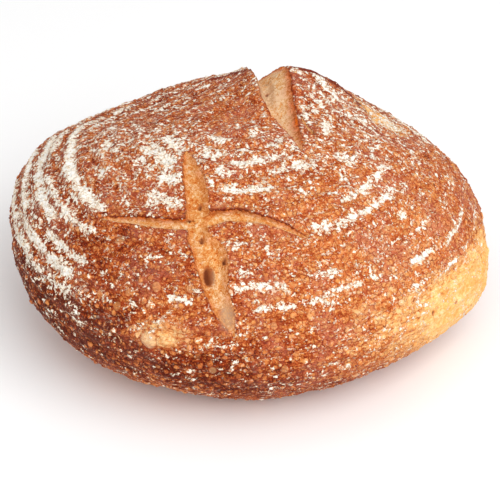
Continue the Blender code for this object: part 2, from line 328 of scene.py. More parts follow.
def slashPlace(points, path):  # how far inside, half width there, side (1 is left), step to the middle
    away = points[:, None, :] - path[None, :, :2]
    distance = np.hypot(away[..., 0], away[..., 1])
    half = path[:, 2] / 2
    nearest = np.argmax(half[None, :] - distance, axis=1)
    rows = np.arange(len(points))
    along = np.gradient(path[:, :2], axis=0)[nearest]
    offset = away[rows, nearest]
    side = np.sign(along[:, 0] * offset[:, 1] - along[:, 1] * offset[:, 0])
    return half[nearest] - distance[rows, nearest], half[nearest], side, offset


def smoothStep(value, low, high):
    share = np.clip((value - low) / (high - low), 0, 1)
    return share * share * (3 - 2 * share)


def slashFields(points):
    count = len(points)
    names = ("depth", "lips", "crumb", "brownAndShade", "rimBakeAndShade", "hole", "film", "pale")
    fields = {name: np.zeros(count) for name in names}
    fields["shift"] = np.zeros((count, 2))
    fields["blister"] = np.full(count, 3.0)  # distance from the nearest blister's middle, in its radii
    for slash in slashes.values():
        path = slashPath(slash)
        inside, half, side, offset = slashPlace(points, path)
        fullness = np.clip(half / (path[:, 2].max() * slashShape["fullDepthFrom"]), 0, 1)
        distance = half - inside
        walls = np.ones(count)
        brownAndShade = np.zeros(count)
        sides = zip((1, -1), slash["wallRun"], slash["wallShare"], slash["brownAndShade"], slash["brownRun"])
        for sign, run, wallShare, tone, brownRun in sides:
            fromLip = half - sign * side * distance
            walls = walls * np.clip(fromLip / np.minimum(run, half * wallShare), 0, 1)
            # each wall is browned near its lip, and darkened there with painted shade under the lip
            brownAndShadeReach = np.minimum(brownRun, half * slashShape["brownMost"])
            brownAndShade = np.maximum(brownAndShade, tone * np.exp(-((fromLip / brownAndShadeReach) ** 2)))
        walls = np.where(inside > 0, walls, 0)
        crown = 1 - slash["crown"] * np.clip(inside / half, 0, 1) ** 2
        fields["depth"] = np.maximum(fields["depth"], slash["depth"] * fullness * walls * crown)
        rise = np.where(side > 0, *slash["lipRise"]) * np.sqrt(fullness)
        outside = np.minimum(inside, 0)
        lips = rise * np.exp(-((outside / slashShape["lipSpread"]) ** 2))
        fields["lips"] = np.maximum(fields["lips"], lips)
        mask = smoothStep(inside, *slashShape["crumbEdge"]) * smoothStep(half, *slashShape["crumbFromWidth"])
        fields["brownAndShade"] = np.where(mask > fields["crumb"], brownAndShade, fields["brownAndShade"])
        fields["pale"] = np.where(mask > fields["crumb"], slash["pale"], fields["pale"])
        fields["crumb"] = np.maximum(fields["crumb"], mask)
        # a dark line outside each lip: the cut edge's darker bake, with painted shade under the lip
        darkness = np.where(side > 0, *slash["rimBakeAndShade"]) * np.minimum(1, fullness * slashShape["rimFullness"])
        rimBakeAndShade = darkness * np.exp(-((outside / slash["rimWidth"]) ** 2))
        fields["rimBakeAndShade"] = np.maximum(fields["rimBakeAndShade"], rimBakeAndShade)
        reach = np.where(side > 0, *slash["lipReach"]) * fullness
        pull = reach * np.exp(-((inside / slashShape["lipReachSpread"]) ** 2))
        pull = pull * (inside < slashShape["lipPullFrom"])
        towards = -offset / np.maximum(distance, 1e-6)[:, None]
        fields["shift"] += towards * pull[:, None]
    for x, y, halfLength, halfWidth, depth in holes.values():
        reach = np.hypot((points[:, 0] - x) / halfWidth, (points[:, 1] - y) / halfLength)
        fields["depth"] = fields["depth"] + depth * np.sqrt(np.clip(1 - reach**2, 0, 1))
        # painted shade fills the hole, darkest under its left edge
        middleShade, sideShade = slashShape["holeShade"]
        shaded = np.clip(middleShade - sideShade * (points[:, 0] - x) / halfWidth, 0, 1)
        fields["hole"] = np.maximum(fields["hole"], smoothStep(-reach, *slashShape["holeShadeEdge"]) * shaded)
    for x, y, radius, rise, pale in blisters.values():
        reach = np.hypot(points[:, 0] - x, points[:, 1] - y) / radius
        fields["lips"] += rise * np.sqrt(np.clip(1 - reach**2, 0, 1))
        nearest = reach < np.minimum(fields["blister"], slashShape["blisterEdge"])
        fields["pale"] = np.where(nearest, pale, fields["pale"])
        fields["blister"] = np.minimum(fields["blister"], reach)
    for x, y, halfLength, halfWidth in films.values():
        reach = np.hypot((points[:, 0] - x) / halfWidth, (points[:, 1] - y) / halfLength)
        fields["film"] = np.maximum(fields["film"], smoothStep(-reach, *slashShape["filmEdge"]))
    return fields


# The net of the crust. It is triangulated in a plane where it keeps its angles, so that its triangles
# stay even from the top centre to the base's edge.
net = {
    "topStep": 0.00118,
    "underStep": 0.00175,
    "baseStep": 0.0040,
    "slashStep": 0.0011,
    "shoulder": 0.0011,  # a line just outside the lips
    "narrowestLips": 0.0006,
    "corner": 0.0016,  # how far a slash's lines stay out of another slash
    "clearance": 0.00075,
    "mergeWithin": 1e-6,
    "underFrom": 0.95,  # share of the profile from which the steps grow
    "underOver": 0.4,
    "rowShare": 0.87,  # rows of an even net are this share of a step apart
    "lastRow": 0.6,
    "baseGrowth": 1.5,
}


def evenPlane():  # distance from the plane's middle for each step of the way over the crust
    radii = np.maximum(ratioSteps * form["radius"], 1e-9)
    arcs = np.maximum(arcSteps, 1e-9)
    excess = np.where(arcSteps > 0, 1 / radii - 1 / arcs, 0)
    excess[1] = excess[2]
    total = np.concatenate([[0], np.cumsum((excess[1:] + excess[:-1]) / 2 * np.diff(arcSteps))])
    return arcSteps * np.exp(total)


planeSteps = evenPlane()


def slashLines():  # flat points along the lips, just outside and just inside them, and their edges
    points, edges = [], []
    for name, slash in slashes.items():
        path = slashPath(slash)
        run = np.concatenate([[0], np.cumsum(np.hypot(*np.diff(path[:, :2], axis=0).T))])
        places = np.linspace(0, run[-1], round(run[-1] / net["slashStep"]) + 1)
        line = np.stack([np.interp(places, run, path[:, axis]) for axis in range(3)], axis=-1)
        along = np.gradient(line[:, :2], axis=0)
        across = np.stack([-along[:, 1], along[:, 0]], axis=-1)
        across /= np.linalg.norm(across, axis=1, keepdims=True)
        half = line[:, 2] / 2
        others = [slashPath(other) for key, other in slashes.items() if key != name]
        for sign, run, wallShare in zip((1, -1), slash["wallRun"], slash["wallShare"]):
            foot = half - np.minimum(run, half * wallShare)
            for away in (half, half + net["shoulder"], foot):
                row = line[:, :2] + sign * away[:, None] * across
                whole = half > net["narrowestLips"]
                for other in others:
                    whole &= slashPlace(row, other)[0] < -net["corner"]
                before = False
                for place, here in zip(row, whole):
                    if here and before:
                        edges.append((len(points) - 1, len(points)))
                    if here:
                        points.append(place)
                    before = here
    return np.array(points), edges


def farFrom(points, lines, clearance):
    tree = kdtree.KDTree(len(lines))
    for index, place in enumerate(lines):
        tree.insert((place[0], place[1], 0), index)
    tree.balance()
    return np.array([tree.find((x, y, 0))[2] > clearance for x, y in points])


def ringPoints(arc, radius, step, firstTurn):
    count = max(6, round(2 * math.pi * radius / step))
    turns = firstTurn + 2 * math.pi * np.arange(count) / count
    return np.stack([arc * np.cos(turns), arc * np.sin(turns)], axis=-1)


def crustNet():  # flat points, the faces of the crust, and the rim at the base's edge
    rows = [np.zeros((1, 2))]
    arc = 0.0
    while True:
        share = float(np.interp(arc, arcSteps, shareSteps))
        under = min(1, max(0, (share - net["underFrom"]) / net["underOver"]))
        step = net["topStep"] + (net["underStep"] - net["topStep"]) * under
        arc += step * net["rowShare"]
        if arc > baseArc - step * net["lastRow"]:
            break
        ratio = float(np.interp(arc, arcSteps, ratioSteps))
        rows.append(ringPoints(arc, ratio * form["radius"], step, len(rows) * 0.5))
    lines, edges = slashLines()
    crust = np.concatenate(rows)
    crust = crust[farFrom(crust, lines, net["clearance"])]
    rim = ringPoints(baseArc, form["baseRadius"], net["underStep"], 0.0)
    flat = np.concatenate([lines, crust, rim])
    reach = np.hypot(flat[:, 0], flat[:, 1])
    stretch = np.interp(reach, arcSteps, planeSteps) / np.maximum(reach, 1e-9)
    plane = [Vector(place) for place in flat * stretch[:, None]]
    corners, _, faces, origins, *_ = delaunay_2d_cdt(plane, edges, [], 0, net["mergeWithin"])
    kept = np.array([origin[0] if origin else -1 for origin in origins])
    if (kept < 0).any():
        raise ValueError("two lines of the slashes cross in the net")
    return flat[kept], [tuple(face) for face in faces], len(rim)


def baseNet(rimCount):  # points of the flat base as shares of its radius, with the rim's points first
    rows = [ringPoints(1, 1, 2 * math.pi / rimCount, 0.0)]
    step = net["baseStep"] / form["baseRadius"]
    reach = 1 - net["underStep"] / form["baseRadius"]
    finest = net["underStep"] / form["baseRadius"]
    while reach > step / 2:
        rows.append(ringPoints(reach, reach, finest, len(rows) * 0.5))
        finest = min(step, finest * net["baseGrowth"])
        reach -= finest * net["rowShare"]
    rows.append(np.zeros((1, 2)))
    points = np.concatenate(rows)
    result = delaunay_2d_cdt([Vector(place) for place in points], [], [], 0, net["mergeWithin"])
    kept = [origin[0] for origin in result[3]]
    return points, [tuple(kept[corner] for corner in face) for face in result[2]]


# Flour on the basket rings. Each stretch gives the way over the crust in millimetres at its start and at
# its end, its width in millimetres, the directions it runs between, and how thick the flour lies.
flour = {
    "upper left": (
        (15.4, 15.4, 2.5, 168, 208, 0.5),
        (20, 20, 5, 222, 258, 0.9),
        (23, 23, 3, 198, 206, 0.5),
        (32, 32, 5, 188, 200, 0.7),
        (37.5, 37.5, 6, 192, 222, 0.9),
        (33, 33, 8, 232, 258, 0.7),
        (48, 48, 9, 198, 228, 0.9),
        (50, 50, 7, 219, 227, 1.0),
        (57, 57, 7, 205, 212, 0.8),
        (59, 59, 8, 225, 240, 0.9),
        (69, 69, 5, 181, 188, 0.9),
        (71, 71, 4, 203, 207, 0.7),
        (78, 78, 5, 202, 206, 0.9),
        (74, 74, 4, 195, 200, 0.4),
        (72, 72, 8, 228, 247, 0.7),
        (82, 82, 4, 221, 227, 0.8),
    ),
    "left side": (
        (91.5, 91.5, 6.5, 176, 218, 0.95),
        (100, 91, 6, 150, 178, 0.8),
        (97, 97, 4, 200, 207, 0.6),
        (105, 105, 5, 158, 176, 0.8),
        (105, 105, 5, 186, 222, 0.7),
        (112.5, 112.5, 6, 160, 205, 0.95),
        (120, 120, 5, 205, 224, 0.8),
        (124.5, 124.5, 4.5, 163, 192, 0.95),
        (129, 129, 6, 192, 222, 0.9),
        (138, 138, 9, 172, 206, 0.95),
        (138, 138, 7, 206, 222, 0.6),
        (151, 151, 6, 150, 196, 0.6),
        (123, 123, 4, 250, 257, 0.7),
        (105, 105, 4, 240, 246, 0.5),
        (92, 92, 4, 250, 254, 0.5),
    ),
    "between the slashes": (
        (5, 5, 4, 258, 300, 0.8),
        (16, 12.5, 4, 295, 320, 0.95),
        (12.5, 11, 4, 320, 340, 0.95),
        (8.8, 8.8, 2.5, 345, 372, 0.6),
        (14, 14, 3.5, 366, 377, 0.8),
        (17.5, 17.5, 4, 255, 265, 0.9),
        (22, 22, 3.5, 298, 312, 0.6),
        (28, 28, 5, 305, 322, 0.9),
        (28, 28, 4.5, 268, 284, 0.8),
        (30, 30, 5, 255, 262, 0.8),
        (39, 37, 6, 262, 308, 0.9),
        (46, 46, 6, 254, 268, 0.8),
        (47, 47, 5, 290, 306, 0.8),
        (49, 49, 8, 306, 318, 0.95),
        (36, 36, 4, 319, 326, 0.6),
        (36, 36, 4, 355, 382, 0.7),
        (45.5, 45.5, 6, 350, 368, 0.95),
        (48, 48, 5, 380, 390, 0.9),
        (58, 58, 6, 260, 290, 0.9),
        (58, 58, 5, 266, 277, 0.9),
        (61, 61, 4, 303, 320, 0.5),
    ),
    "right side": (
        (59, 59, 7, 330, 341, 0.95),
        (65, 65, 5, 326, 347, 0.7),
        (58, 58, 6, 355, 400, 0.5),
        (72.5, 72.5, 3.5, 310, 330, 0.5),
        (72.5, 72.5, 3.5, 335, 350, 0.5),
        (72.5, 72.5, 4, 357, 361, 0.9),
        (79, 79, 6, 313, 346, 0.9),
        (89.5, 89.5, 5, 296, 336, 0.85),
        (92, 92, 4, 350, 365, 0.5),
        (102, 102, 4, 326, 330, 0.9),
        (102, 102, 3.5, 332, 356, 0.5),
        (112.5, 112.5, 4, 320, 340, 0.6),
        (117.5, 117.5, 3.5, 350, 362, 0.5),
        (124, 124, 3, 318, 328, 0.95),
        (127, 127, 3, 333, 349, 0.95),
        (135, 135, 3, 314, 321, 0.9),
        (137.5, 137.5, 3, 322, 342, 0.5),
        (139, 139, 3.5, 348, 358, 0.7),
        (145, 145, 3, 313, 321, 0.4),
    ),
    "front": (
        (84, 84, 3, 270, 273, 0.6),
        (91.5, 91.5, 4, 265, 276, 0.6),
        (102, 102, 4, 280, 300, 0.4),
        (112.5, 112.5, 4, 289, 298, 0.8),
        (115, 115, 4, 267, 283, 0.9),
        (126, 126, 3, 273, 284, 0.95),
        (124.5, 124.5, 3, 284, 292, 0.95),
        (122, 122, 3, 292, 303, 0.95),
        (121, 121, 3.5, 252, 257, 0.5),
    ),
}
flourStrength = {  # how much thicker the flour lies there, and how much wider
    "upper left": (1.35, 1.1),
    "left side": (1.42, 1.0),
    "between the slashes": (1.25, 1.0),
    "right side": (1.05, 1.0),
    "front": (1.0, 1.0),
}
# On the back, which the photo doesn't show, the rings go on with gaps drawn by the seed.
backFlour = {
    "from": 22,
    "to": 148,
    "firstRing": 3,
    "lastRing": 14,
    "pitchMm": 10.5,
    "seed": 7,
    "ringOff": (-1.5, 1.5),
    "startOff": (-10, 6),
    "run": (9, 36),
    "drift": (-2, 2),
    "width": (3, 7.5),
    "thick": (0.45, 0.95),
    "gap": (2, 16),
}
flourLay = {
    "least": 0.05,
    "endsSoft": 4.0,  # millimetres over which a stretch ends
    "edge": (1.7, 0.8),  # power and fall of a stretch's width
    "widestReachMm": 125,
}


# Thin flour between the rings: direction, way over the crust in millimetres, spread in degrees, spread
# in millimetres, and how thick
haze = (
    (215, 45, 60, 38, 0.52),
    (185, 60, 40, 40, 0.52),
    (215, 140, 24, 18, 0.34),
    (190, 115, 34, 42, 0.48),
    (330, 40, 60, 34, 0.46),
    (20, 70, 40, 50, 0.50),
    (386, 92, 14, 16, 0.75),
    (90, 90, 70, 60, 0.42),
    (262, 90, 40, 26, 0.18),
    (318, 95, 30, 40, 0.20),
)


def flourStretches():
    stretches = []
    for name, rows in flour.items():
        thicker, wider = flourStrength[name]
        for startArc, endArc, width, start, end, thick in rows:
            stretches.append((startArc, endArc, width * wider, start, end, thick * thicker))
    random = np.random.default_rng(backFlour["seed"])

    def draw(name):
        return random.uniform(*backFlour[name])

    for ring in range(backFlour["firstRing"], backFlour["lastRing"] + 1):
        arc = ring * backFlour["pitchMm"] + draw("ringOff")
        turn = backFlour["from"] + draw("startOff")
        while turn < backFlour["to"]:
            run, drift, width = draw("run"), draw("drift"), draw("width")
            stretches.append((arc, arc + drift, width, turn, turn + run, draw("thick")))
            turn += run + draw("gap")
    return stretches


def flourCover(arc, turn):
    cover = np.full(len(arc), flourLay["least"])
    for direction, way, spread, waySpread, thick in haze:
        aside = turnDifference(turn, direction) / math.radians(spread)
        cover = np.maximum(cover, thick * np.exp(-(aside**2) - ((arc * 1000 - way) / waySpread) ** 2))
    power, fall = flourLay["edge"]
    soft = flourLay["endsSoft"]
    for startArc, endArc, width, start, end, thick in flourStretches():
        middle = math.radians((start + end) / 2)
        halfTurn = math.radians((end - start) / 2)
        aside = (turn - middle + math.pi) % (2 * math.pi) - math.pi
        share = np.clip(aside / halfTurn / 2 + 0.5, 0, 1)
        centre = startArc + (endArc - startArc) * share
        beyond = (np.abs(aside) - halfTurn) * np.minimum(centre, flourLay["widestReachMm"])
        across = (arc * 1000 - centre) / (width / 2)
        patch = thick * np.exp(-(np.abs(across) ** power) * fall) * smoothStep(-beyond, -soft, soft)
        cover = np.maximum(cover, patch)
    return cover


# Colour of the bake by place; low on the loaf the dark places also carry painted shade: direction, way
# over the crust in millimetres, spread in degrees, spread in millimetres, and how strong.
bake = {
    "golden": (
        (334, 170, 17, 23, 1.2),
        (328, 146, 14, 9, 0.35),
        (352, 160, 12, 20, 0.6),
        (308, 150, 18, 24, 0.34),
        (250, 142, 7, 8, 0.46),
        (386, 88, 11, 13, 1.0),
    ),
    # darker bake; the places low on the loaf, towards the floor, also carry painted shade
    "dark": (
        (222, 158, 32, 22, 1.0),
        (268, 172, 20, 20, 0.5),
        (195, 172, 40, 24, 0.6),
        (90, 178, 100, 26, 0.5),
        (296, 190, 26, 14, 0.4),
        (60, 120, 30, 30, 0.35),
        (140, 90, 40, 40, 0.35),
        (190, 40, 60, 30, 0.15),
        (60, 50, 50, 30, 0.20),
        (185, 120, 26, 30, 0.35),
        (228, 112, 26, 26, 0.35),
        (265, 160, 30, 26, 0.15),
    ),
    "pale": (
        (246, 147, 5, 7, 1.0),
        (251, 140, 6, 8, 1.0),
    ),
    "calm": (
        (318, 125, 34, 34, 1.0),
        (318, 180, 26, 22, 1.0),
        (340, 95, 24, 30, 0.4),
        (290, 70, 24, 22, 0.4),
    ),
}


def bakeField(name, arc, turn):
    field = np.zeros(len(arc))
    for direction, way, spread, waySpread, strength in bake[name]:
        aside = turnDifference(turn, direction) / math.radians(spread)
        field += strength * np.exp(-(aside**2) - ((arc * 1000 - way) / waySpread) ** 2)
    return np.clip(field, 0, 1)


def setAttribute(mesh, name, values, kind="FLOAT"):
    layer = mesh.attributes.new(name, kind, "POINT")
    key = "vector" if kind == "FLOAT_VECTOR" else "value"
    layer.data.foreach_set(key, np.ascontiguousarray(values, np.float32).ravel())


# Where the flour and the scattered pieces may lie. Pairs are the two edges of a soft step, in the
# measure's own shares, and for "low" in metres of the way over the crust.
coverShape = {
    "holeShadeEdge": (0.0, 0.2),
    "rimBakeAndShade": 0.85,
    "baseFlour": 0.25,
    "baseDark": 0.5,
    "crumbEdge": (0.0, 0.3),
    "lowest": (-1.85, -1.6),
    "blisterEdge": (-1.2, -1.0),
    "byFlour": 0.85,
    "byGolden": 0.75,
    "blisterByFlour": 0.9,
    "leastBlisters": 0.06,
    "front": (238, 1.5),  # direction, and how closely the blisters keep to it
    "low": (0.085, 0.135),
    "clumps": (0.35, 0.95),
}


def buildCrustMesh():
    flat, faces, rimCount = crustNet()
    arc = np.hypot(flat[:, 0], flat[:, 1])
    turn = np.arctan2(flat[:, 1], flat[:, 0])
    share = np.interp(arc, arcSteps, shareSteps)
    rim = np.argsort(arc)[-rimCount:]
    rim = rim[np.argsort(turn[rim] % (2 * math.pi))]
    share[rim] = 2.0
    fields = slashFields(flat)
    shifted = flat + fields["shift"]
    places = loafForm(
        np.arctan2(shifted[:, 1], shifted[:, 0]),
        np.where(share < 2, np.interp(np.hypot(*shifted.T), arcSteps, shareSteps), 2.0),
    )
    smooth = loafForm(turn, share)
    basePoints, baseFaces = baseNet(rimCount)
    inner = basePoints[rimCount:]
    innerTurn = np.arctan2(inner[:, 1], inner[:, 0])
    edge = loafForm(innerTurn, np.full(len(inner), 2.0))
    innerPlaces = edge * np.hypot(inner[:, 0], inner[:, 1])[:, None]
    count = len(flat)
    numbers = list(rim) + list(range(count, count + len(inner)))
    faces += [tuple(numbers[corner] for corner in reversed(face)) for face in baseFaces]

    def asMesh(corners, name):
        mesh = bpy.data.meshes.new(name)
        mesh.from_pydata(np.concatenate([corners, innerPlaces]).tolist(), [], faces)
        mesh.update()
        return mesh

    plain = asMesh(smooth, "smoothLoaf")
    outward = np.zeros(len(plain.vertices) * 3, np.float32)
    plain.vertex_normals.foreach_get("vector", outward)
    bpy.data.meshes.remove(plain)
    mesh = asMesh(places, "loafCrust")

    def whole(values, inBase=0.0):
        return np.concatenate([values, np.full(len(inner), inBase)])

    def cragAt(place):
        return sum(rise * noise.noise(Vector(place) / pitch) for rise, pitch in form["crags"])

    crags = np.array([cragAt(place) for place in smooth])
    fade = np.clip((2.0 - share) / form["baseFade"], 0, 1)
    closed = 1 - smoothStep(fields["hole"], *coverShape["holeShadeEdge"])
    cover = flourCover(arc, turn) * (1 - fields["crumb"]) * closed
    cover = cover * (1 - coverShape["rimBakeAndShade"] * fields["rimBakeAndShade"])
    golden = bakeField("golden", arc, turn)
    setAttribute(mesh, "outward", outward, "FLOAT_VECTOR")
    setAttribute(mesh, "rise", whole(fields["lips"] - fields["depth"] + crags))
    setAttribute(mesh, "fade", whole(fade))
    setAttribute(mesh, "way", whole(arc, baseArc))
    setAttribute(mesh, "direction", np.concatenate([turn, innerTurn]))
    setAttribute(mesh, "share", whole(share, 2.2))
    ringPlace = np.stack([form["radius"] * np.cos(turn), form["radius"] * np.sin(turn), arc], axis=-1)
    basePlace = inner * form["radius"]
    basePlace = np.concatenate([basePlace, np.full((len(inner), 1), baseArc)], axis=-1)
    setAttribute(mesh, "ringPlace", np.concatenate([ringPlace, basePlace]), "FLOAT_VECTOR")
    setAttribute(mesh, "flour", whole(cover, coverShape["baseFlour"]))
    setAttribute(mesh, "golden", whole(golden))
    setAttribute(mesh, "dark", whole(bakeField("dark", arc, turn), coverShape["baseDark"]))
    setAttribute(mesh, "calm", whole(bakeField("calm", arc, turn)))
    setAttribute(mesh, "paleBake", whole(bakeField("pale", arc, turn)))
    for name in ("crumb", "brownAndShade", "rimBakeAndShade", "hole", "film", "pale"):
        setAttribute(mesh, name, whole(fields[name]))
    setAttribute(mesh, "blister", whole(fields["blister"], 3.0))
    bare = 1 - smoothStep(fields["crumb"], *coverShape["crumbEdge"])
    bare = bare * smoothStep(-share, *coverShape["lowest"]) * closed
    bare = bare * (1 - smoothStep(-fields["blister"], *coverShape["blisterEdge"]))
    unfloured = bare * (1 - coverShape["byFlour"] * cover)
    frontTurn, frontPower = coverShape["front"]
    frontward = np.clip(0.5 + 0.5 * np.cos(turnDifference(turn, frontTurn)), 0, 1) ** frontPower
    low = smoothStep(arc, *coverShape["low"])
    setAttribute(mesh, "bareCover", whole(unfloured * (1 - coverShape["byGolden"] * golden)))
    blisterCover = bare * (1 - coverShape["blisterByFlour"] * cover)
    blisterCover = blisterCover * np.clip(coverShape["leastBlisters"] + low * frontward, 0, 1)
    setAttribute(mesh, "blisterCover", whole(blisterCover))
    setAttribute(mesh, "clumpCover", whole(bare * smoothStep(cover, *coverShape["clumps"])))
    mesh.shade_smooth()
    return mesh


# Helpers for node trees. A wire is a node's output that can be added, multiplied and so on like a number.
class Wire:
    def __init__(self, socket):
        self.socket = socket

    def __add__(self, other):
        return calc("ADD", self, other)

    def __sub__(self, other):
        return calc("SUBTRACT", self, other)

    def __rsub__(self, other):
        return calc("SUBTRACT", other, self)

    def __mul__(self, other):
        return calc("MULTIPLY", self, other)

    def __truediv__(self, other):
        return calc("DIVIDE", self, other)

    def __rtruediv__(self, other):
        return calc("DIVIDE", other, self)

    __rmul__ = __mul__


class Outputs:  # a new node's outputs, by name or by number
    def __init__(self, node):
        self.node = node

    def __getitem__(self, key):
        return Wire(self.node.outputs[key])


def plug(socket, value):  # joins a wire to a socket, or sets the socket's own value
    if isinstance(value, Wire):
        socket.id_data.links.new(value.socket, socket)
    else:
        socket.default_value = value


def addNode(tree, kind, inputs=None, **settings):
    node = tree.nodes.new(kind)
    count = len(tree.nodes)
    node.location = (220 * (count % 12), -260 * (count // 12))
    for name, value in settings.items():
        setattr(node, name, value)
    for name, value in (inputs or {}).items():
        plug(node.inputs[name], value)
    return Outputs(node)


def newGroup(kind, name, inputs, outputs):
    group = bpy.data.node_groups.new(name, kind)
    for side, sockets in (("INPUT", inputs), ("OUTPUT", outputs)):
        for label, socketKind, *value in sockets:
            socket = group.interface.new_socket(label, in_out=side, socket_type="NodeSocket" + socketKind)
            if value:
                socket.default_value = value[0]
    return group, addNode(group, "NodeGroupInput")


def useGroup(tree, group, inputs):
    return addNode(tree, "ShaderNodeGroup", inputs, node_tree=group)


def treeOf(*values):
    return next(value.socket.id_data for value in values if isinstance(value, Wire))


def calc(operation, *values, clamp=False):
    inputs = dict(enumerate(values))
    return addNode(treeOf(*values), "ShaderNodeMath", inputs, operation=operation, use_clamp=clamp)[0]


def remap(value, low, high, newLow=0.0, newHigh=1.0, smooth=True):
    kind = "SMOOTHSTEP" if smooth else "LINEAR"
    inputs = {"Value": value, "From Min": low, "From Max": high, "To Min": newLow, "To Max": newHigh}
    return addNode(treeOf(value), "ShaderNodeMapRange", inputs, interpolation_type=kind)["Result"]


def vectorCalc(operation, *values):
    inputs = dict(enumerate(values))
    return addNode(treeOf(*values), "ShaderNodeVectorMath", inputs, operation=operation)[0]


def scaled(vector, factor):
    inputs = {0: vector, "Scale": factor}
    return addNode(treeOf(vector), "ShaderNodeVectorMath", inputs, operation="SCALE")[0]


def partOf(vector, axis=0):
    return addNode(treeOf(vector), "ShaderNodeSeparateXYZ", {0: vector})[axis]


def noiseOver(vector, scale, detail, roughness=0.5, output=0):
    inputs = {"Vector": vector, "Scale": scale, "Detail": detail, "Roughness": roughness}
    return addNode(treeOf(vector), "ShaderNodeTexNoise", inputs)[output]


def cellsOver(vector, scale, feature="F1"):
    inputs = {"Vector": vector, "Scale": scale}
    return addNode(treeOf(vector), "ShaderNodeTexVoronoi", inputs, feature=feature)


def swayOver(vector, scale, detail):  # a noise in three directions, even about 0
    return vectorCalc("SUBTRACT", noiseOver(vector, scale, detail, output="Color"), (0.5, 0.5, 0.5))


def fieldOf(tree, name, kind="FLOAT"):
    return addNode(tree, "GeometryNodeInputNamedAttribute", {"Name": name}, data_type=kind)["Attribute"]


def attributeOf(tree, name, output="Fac"):
    return addNode(tree, "ShaderNodeAttribute", attribute_name=name)[output]


def endTree(tree, geometry, material):
    done = addNode(tree, "GeometryNodeSetMaterial", {"Geometry": geometry, "Material": material})[0]
    addNode(tree, "NodeGroupOutput", {0: done})
    return tree


# Relief of the crust, by Geometry Nodes: basket rings, lumps, nubs of the crust and pores of the crumb
relief = {
    "Ring pitch": 0.0105,
    "Ring rise": 0.00075,
    "Ring strongest at": 215.0,
    "Lump size": 0.0085,
    "Lump rise": 0.00200,
    "Nub size": 0.0034,
    "Nub rise": 0.00075,
    "Pore size": 0.0026,
    "Pore depth": 0.0018,
    "Flour rise": 0.00025,
    "Shrink": 0.0006,  # so that grains and blisters end at the solid's own form
}


def buildReliefTree():
    sizes = [(name, "Float", value) for name, value in relief.items()]
    inputs = [("Geometry", "Geometry"), *sizes, ("Material", "Material")]
    tree, sockets = newGroup("GeometryNodeTree", "crustRelief", inputs, [("Geometry", "Geometry")])
    place = addNode(tree, "GeometryNodeInputPosition")[0]
    crumb = fieldOf(tree, "crumb")
    # basket rings, stronger on one side and ending below the widest level
    wave = calc("COSINE", fieldOf(tree, "way") / sockets["Ring pitch"] * (2 * math.pi))
    towards = calc("COSINE", fieldOf(tree, "direction") - calc("RADIANS", sockets["Ring strongest at"]))
    strength = (towards * 0.3 + 0.7) * remap(fieldOf(tree, "share"), 1.0, 1.35, 1.0, 0.0)
    rings = wave * strength * sockets["Ring rise"]
    lumps = (noiseOver(place, 1.0 / sockets["Lump size"], 3.0, 0.6) - 0.5) * sockets["Lump rise"]
    cells = cellsOver(place, 1.0 / sockets["Nub size"])
    nubs = remap(cells["Distance"], 0.05, 0.65, 1.0, 0.0) * partOf(cells["Color"]) * sockets["Nub rise"]
    crustRise = (lumps + nubs + rings) * (1.0 - crumb)
    flourRise = fieldOf(tree, "flour") * sockets["Flour rise"]
    pores = noiseOver(place, 1.0 / sockets["Pore size"], 3.0, 0.65) - 0.55
    poreRise = pores * sockets["Pore depth"] * crumb
    total = fieldOf(tree, "rise") + (crustRise + (flourRise + poreRise)) - sockets["Shrink"]
    offset = scaled(fieldOf(tree, "outward", "FLOAT_VECTOR"), total * fieldOf(tree, "fade"))
    moved = addNode(tree, "GeometryNodeSetPosition", {"Geometry": sockets["Geometry"], "Offset": offset})[0]
    real = addNode(tree, "GeometryNodeRealizeInstances", {0: moved})[0]
    return endTree(tree, real, sockets["Material"])


# What stands on the crust, scattered by Geometry Nodes. Sizes are radii.
scattered = {
    "crustNubs": {
        "Cover": "bareCover",
        "Most in a square metre": 70000.0,
        "Spacing": 0.0028,
        "Smallest": 0.00055,
        "Largest": 0.00125,
        "Flatness": 0.42,
        "Sink": 0.30,
        "Tilt": 0.3,
        "Unevenness": 0.00035,
        "Rounding": 1,
        "Seed": 3,
    },
    "crustGrains": {
        "Cover": "bareCover",
        "Most in a square metre": 110000.0,
        "Spacing": 0.0015,
        "Smallest": 0.00024,
        "Largest": 0.00048,
        "Flatness": 0.8,
        "Sink": 0.2,
        "Tilt": 0.6,
        "Unevenness": 0.0002,
        "Rounding": 1,
        "Seed": 5,
    },
    "crustBlisters": {
        "Cover": "blisterCover",
        "Most in a square metre": 46000.0,
        "Spacing": 0.0036,
        "Smallest": 0.0009,
        "Largest": 0.0020,
        "Flatness": 0.55,
        "Sink": 0.30,
        "Tilt": 0.25,
        "Unevenness": 0.0009,
        "Rounding": 2,
        "Seed": 11,
    },
    "branFlakes": {
        "Cover": "bareCover",
        "Most in a square metre": 12000.0,
        "Spacing": 0.0040,
        "Smallest": 0.0005,
        "Largest": 0.0012,
        "Flatness": 0.16,
        "Sink": -0.6,
        "Tilt": 0.5,
        "Unevenness": 0.0003,
        "Rounding": 1,
        "Seed": 17,
    },
    "flourClumps": {
        "Cover": "clumpCover",
        "Most in a square metre": 520000.0,
        "Spacing": 0.0010,
        "Smallest": 0.0004,
        "Largest": 0.0012,
        "Flatness": 0.22,
        "Sink": 0.0,
        "Tilt": 0.3,
        "Unevenness": 0.0008,
        "Rounding": 1,
        "Seed": 23,
    },
}
scatterShape = {
    "smallerMore": 1.6,  # over 1, small pieces outnumber large ones
    "narrowest": (0.75, 0.75, 0.8),
    "widest": (1.3, 1.3, 1.2),
    "unevenScale": 900.0,
}
keptAttributes = ("flour", "golden", "dark", "calm", "paleBake", "dome", "tone", "ringPlace")


